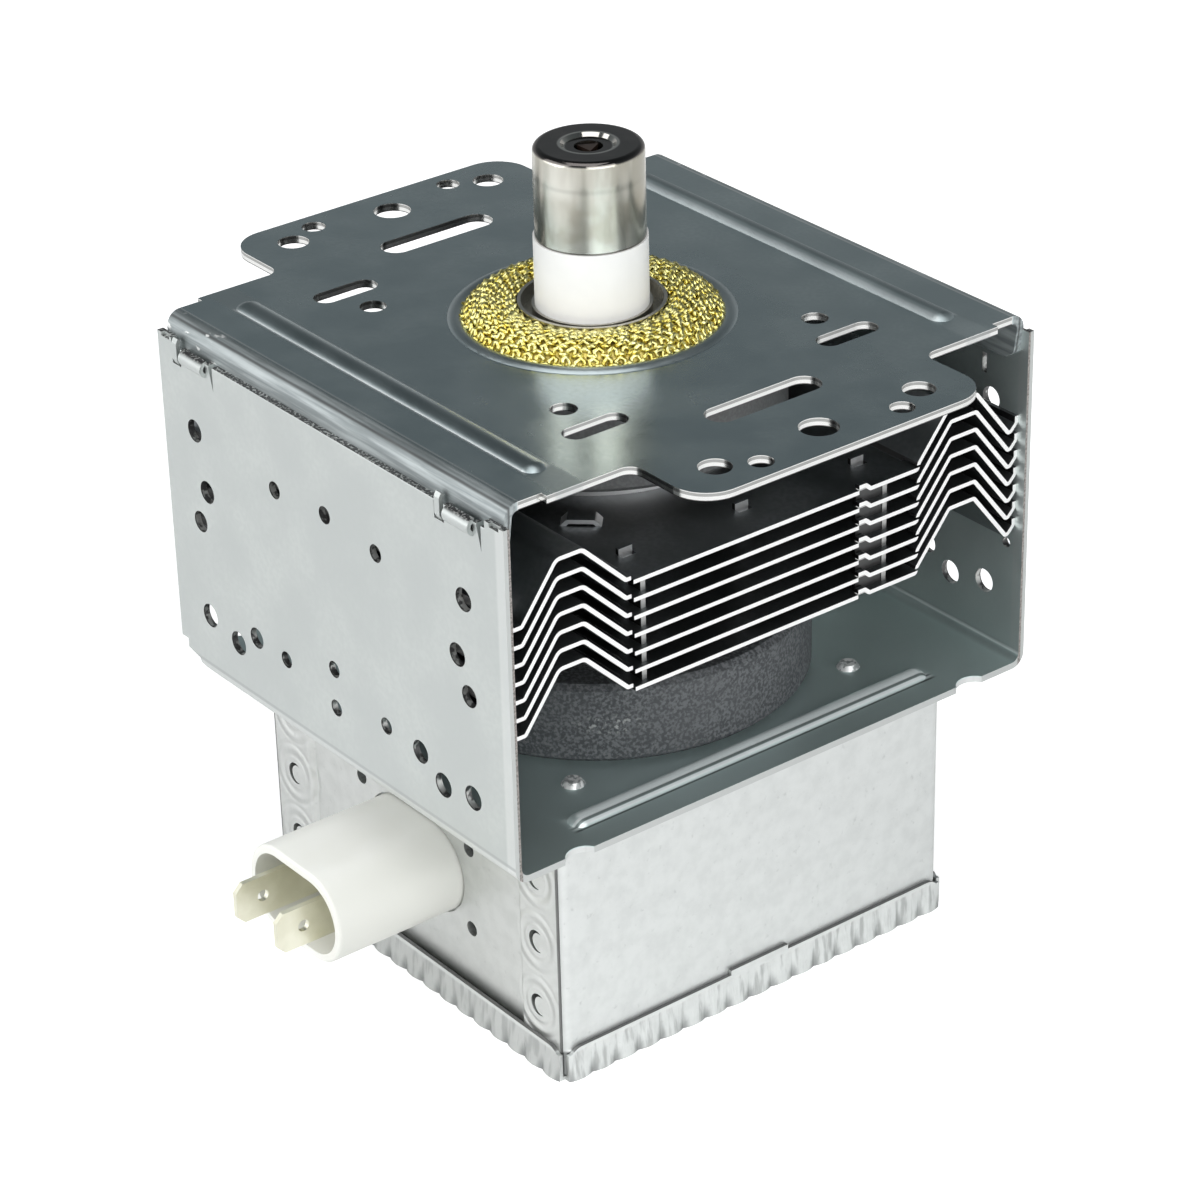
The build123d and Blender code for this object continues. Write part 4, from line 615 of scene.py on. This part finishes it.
# Filter case, front panel and lid
# Light zinc-coated sheet with faint clouds and dark flecks. The lid's rim is fluted and wrinkled
# by its folding, with painted shade in the flutes' valleys, in the wrinkles and along its top, and faces
# that look along Y are painted darker, a painted shade. The panel's side strips are clinched to the case,
# with pressed ripples round each clinch.
lid_rim, flute_top, panel_end = -89.4 * mm, -90.2 * mm, 34.05 * mm
clinch_x, clinch_heights = 29.2 * mm, (-63.8 * mm, -74.1 * mm, -84.6 * mm)
ripple_pitch = 2.0 * mm
wrinkle_height, ripple_height = 14.0, 8.0


def clinch_ripples(x, z):
    """Rings pressed into the panel round its six clinches."""
    beside = abs(x) - clinch_x
    waves = 0.0
    for clinch_z in clinch_heights:
        above = z - clinch_z
        reach = (beside * beside + above * above) ** 0.5
        turns = reach * (2 * math.pi / ripple_pitch)
        ringed = reach.band(2.2 * mm, 2.8 * mm) * reach.band(5.8 * mm, 4.6 * mm)
        waves = turns.math("COSINE", turns) * ringed + waves
    return waves


def light_zinc(name, face, shade, is_panel=False):
    """Finish of the filter box's sheets. The panel also has its ripples and a dark line at both ends."""
    finish, place = start_finish(name)
    x, _, z = place.parts()
    face_x, face_y, face_z = [abs(part) for part in facing(place)]
    cloud = place.noise(420.0, 4.0).band(0.3, 0.75)
    fleck = place.noise(900.0, 3.0).band(0.62, 0.8)
    grain = place.noise(2400.0, 2.0)
    colour = (fleck * 0.35).blend(cloud.blend(face, shade), (0.4, 0.42, 0.41, 1))
    on_rim = z.band(flute_top + 0.5 * mm, flute_top)
    # Faces that look along Y are painted darker, most of all on the lid's rim: painted shade.
    colour = (face_y.band(0.5, 0.9) * (on_rim * 0.4 + 0.3)).blend(colour, (0.46, 0.47, 0.46, 1))
    # Painted shade in the flutes' valleys.
    valley_shade = (face_x * face_y).band(0.12, 0.36) * on_rim
    colour = (valley_shade * 0.75).blend(colour, (0.2, 0.21, 0.21, 1))
    wrinkle = stretched(place, 1.0, 1.0, 0.16).noise(850.0, 3.0)
    # The wrinkles are bumps, and they are also painted darker as painted shade.
    colour = (wrinkle.band(0.5, 0.68) * on_rim * 0.6).blend(colour, (0.34, 0.35, 0.345, 1))
    # A painted shade line along the top of the rim.
    rim_top_shade = face_z.band(0.6, 0.9) * z.within(lid_rim - 0.6 * mm, lid_rim + 1.8 * mm, 0.2 * mm)
    colour = rim_top_shade.blend(colour, grey(0.22))
    relief = cloud * 0.3 + grain + wrinkle * on_rim * wrinkle_height
    if is_panel:
        seam = abs(x).band(panel_end - 0.35 * mm, panel_end - 0.15 * mm)
        colour = (seam * 0.85).blend(colour, grey(0.12))
        relief = relief + clinch_ripples(x, z) * ripple_height
    end_finish(place, colour, 0.38 + grain * 0.08 + cloud * 0.05, 1.0, relief, sheet_depth)
    return finish


case_zinc = light_zinc("case_zinc", (0.76, 0.78, 0.77, 1), (0.7, 0.72, 0.71, 1))
dress(case_zinc, "filter_case", "filter_lid", "capacitor_plate")
panel_zinc = light_zinc("panel_zinc", (0.73, 0.745, 0.73, 1), (0.66, 0.675, 0.66, 1), is_panel=True)
dress(panel_zinc, "filter_panel")


# Case rivets
# Four steel rivets that hold the filter case to the yoke. Their heads are flattened by a hammer,
# and small light and dark spots, partly hammer marks and partly painted glints, make them glitter.
rivet_steel, place = start_finish("rivet_steel")
hammer_marks_and_glints = place.noise(1300.0, 2.0)
# Light and dark spots: painted glints over the hammer marks.
colour = hammer_marks_and_glints.band(0.42, 0.56).blend((0.4, 0.42, 0.42, 1), (0.95, 0.96, 0.95, 1))
end_finish(place, colour, 0.25 + hammer_marks_and_glints * 0.3, 0.5, hammer_marks_and_glints, 0.12 * mm)
dress(rivet_steel, "case_rivets")


# Supply connector
# Shroud moulded in white plastic, semi-matt, with painted shade on its +X side. Inside it stand
# two tinned blades for push-on receptacles.
plastic, place = start_finish("connector_plastic")
cloud = place.noise(140.0, 2.0)
colour = cloud.band(0.3, 0.75).blend((0.88, 0.88, 0.83, 1), (0.91, 0.91, 0.87, 1))
# The +X side is painted darker, a painted shade.
colour = facing(place)[0].band(-0.1, 0.85).blend(colour, (0.72, 0.725, 0.68, 1))
end_finish(place, colour, 0.38 + cloud * 0.1, 0.0, place.noise(900.0), 0.01 * mm)
dress(plastic, "connector_shell")
blade, place = start_finish("tinned_blade")
cloud = place.noise(300.0, 3.0)
colour = cloud.band(0.3, 0.75).blend((0.79, 0.775, 0.63, 1), (0.88, 0.865, 0.73, 1))
end_finish(place, colour, 0.3 + cloud * 0.15, 1.0, cloud, 0.02 * mm)
dress(blade, "terminal_tab_1", "terminal_tab_2")


# Capacitor block and chokes
# Dark moulded resin block, two coils of enamelled copper wire and their sintered cores, all
# inside the filter case.
resin, place = start_finish("capacitor_resin")
cloud = place.noise(300.0, 3.0)
colour = cloud.band(0.3, 0.75).blend((0.05, 0.045, 0.04, 1), (0.08, 0.07, 0.06, 1))
end_finish(place, colour, 0.5 + cloud * 0.15, 0.0, cloud, 0.04 * mm)
dress(resin, "capacitor_block")
enamelled = plain_metal("enamelled_copper", (0.5, 0.19, 0.08, 1), (0.36, 0.13, 0.05, 1), 0.22)
dress(enamelled, "choke_coil_1", "choke_coil_2")
core_black, place = start_finish("ferrite_core")
speckle = place.noise(1400.0, 2.0)
colour = speckle.band(0.35, 0.7).blend(grey(0.03), grey(0.07))
end_finish(place, colour, 0.6 + speckle * 0.1, 0.0, speckle, 0.04 * mm)
dress(core_black, "choke_core_1", "choke_core_2")
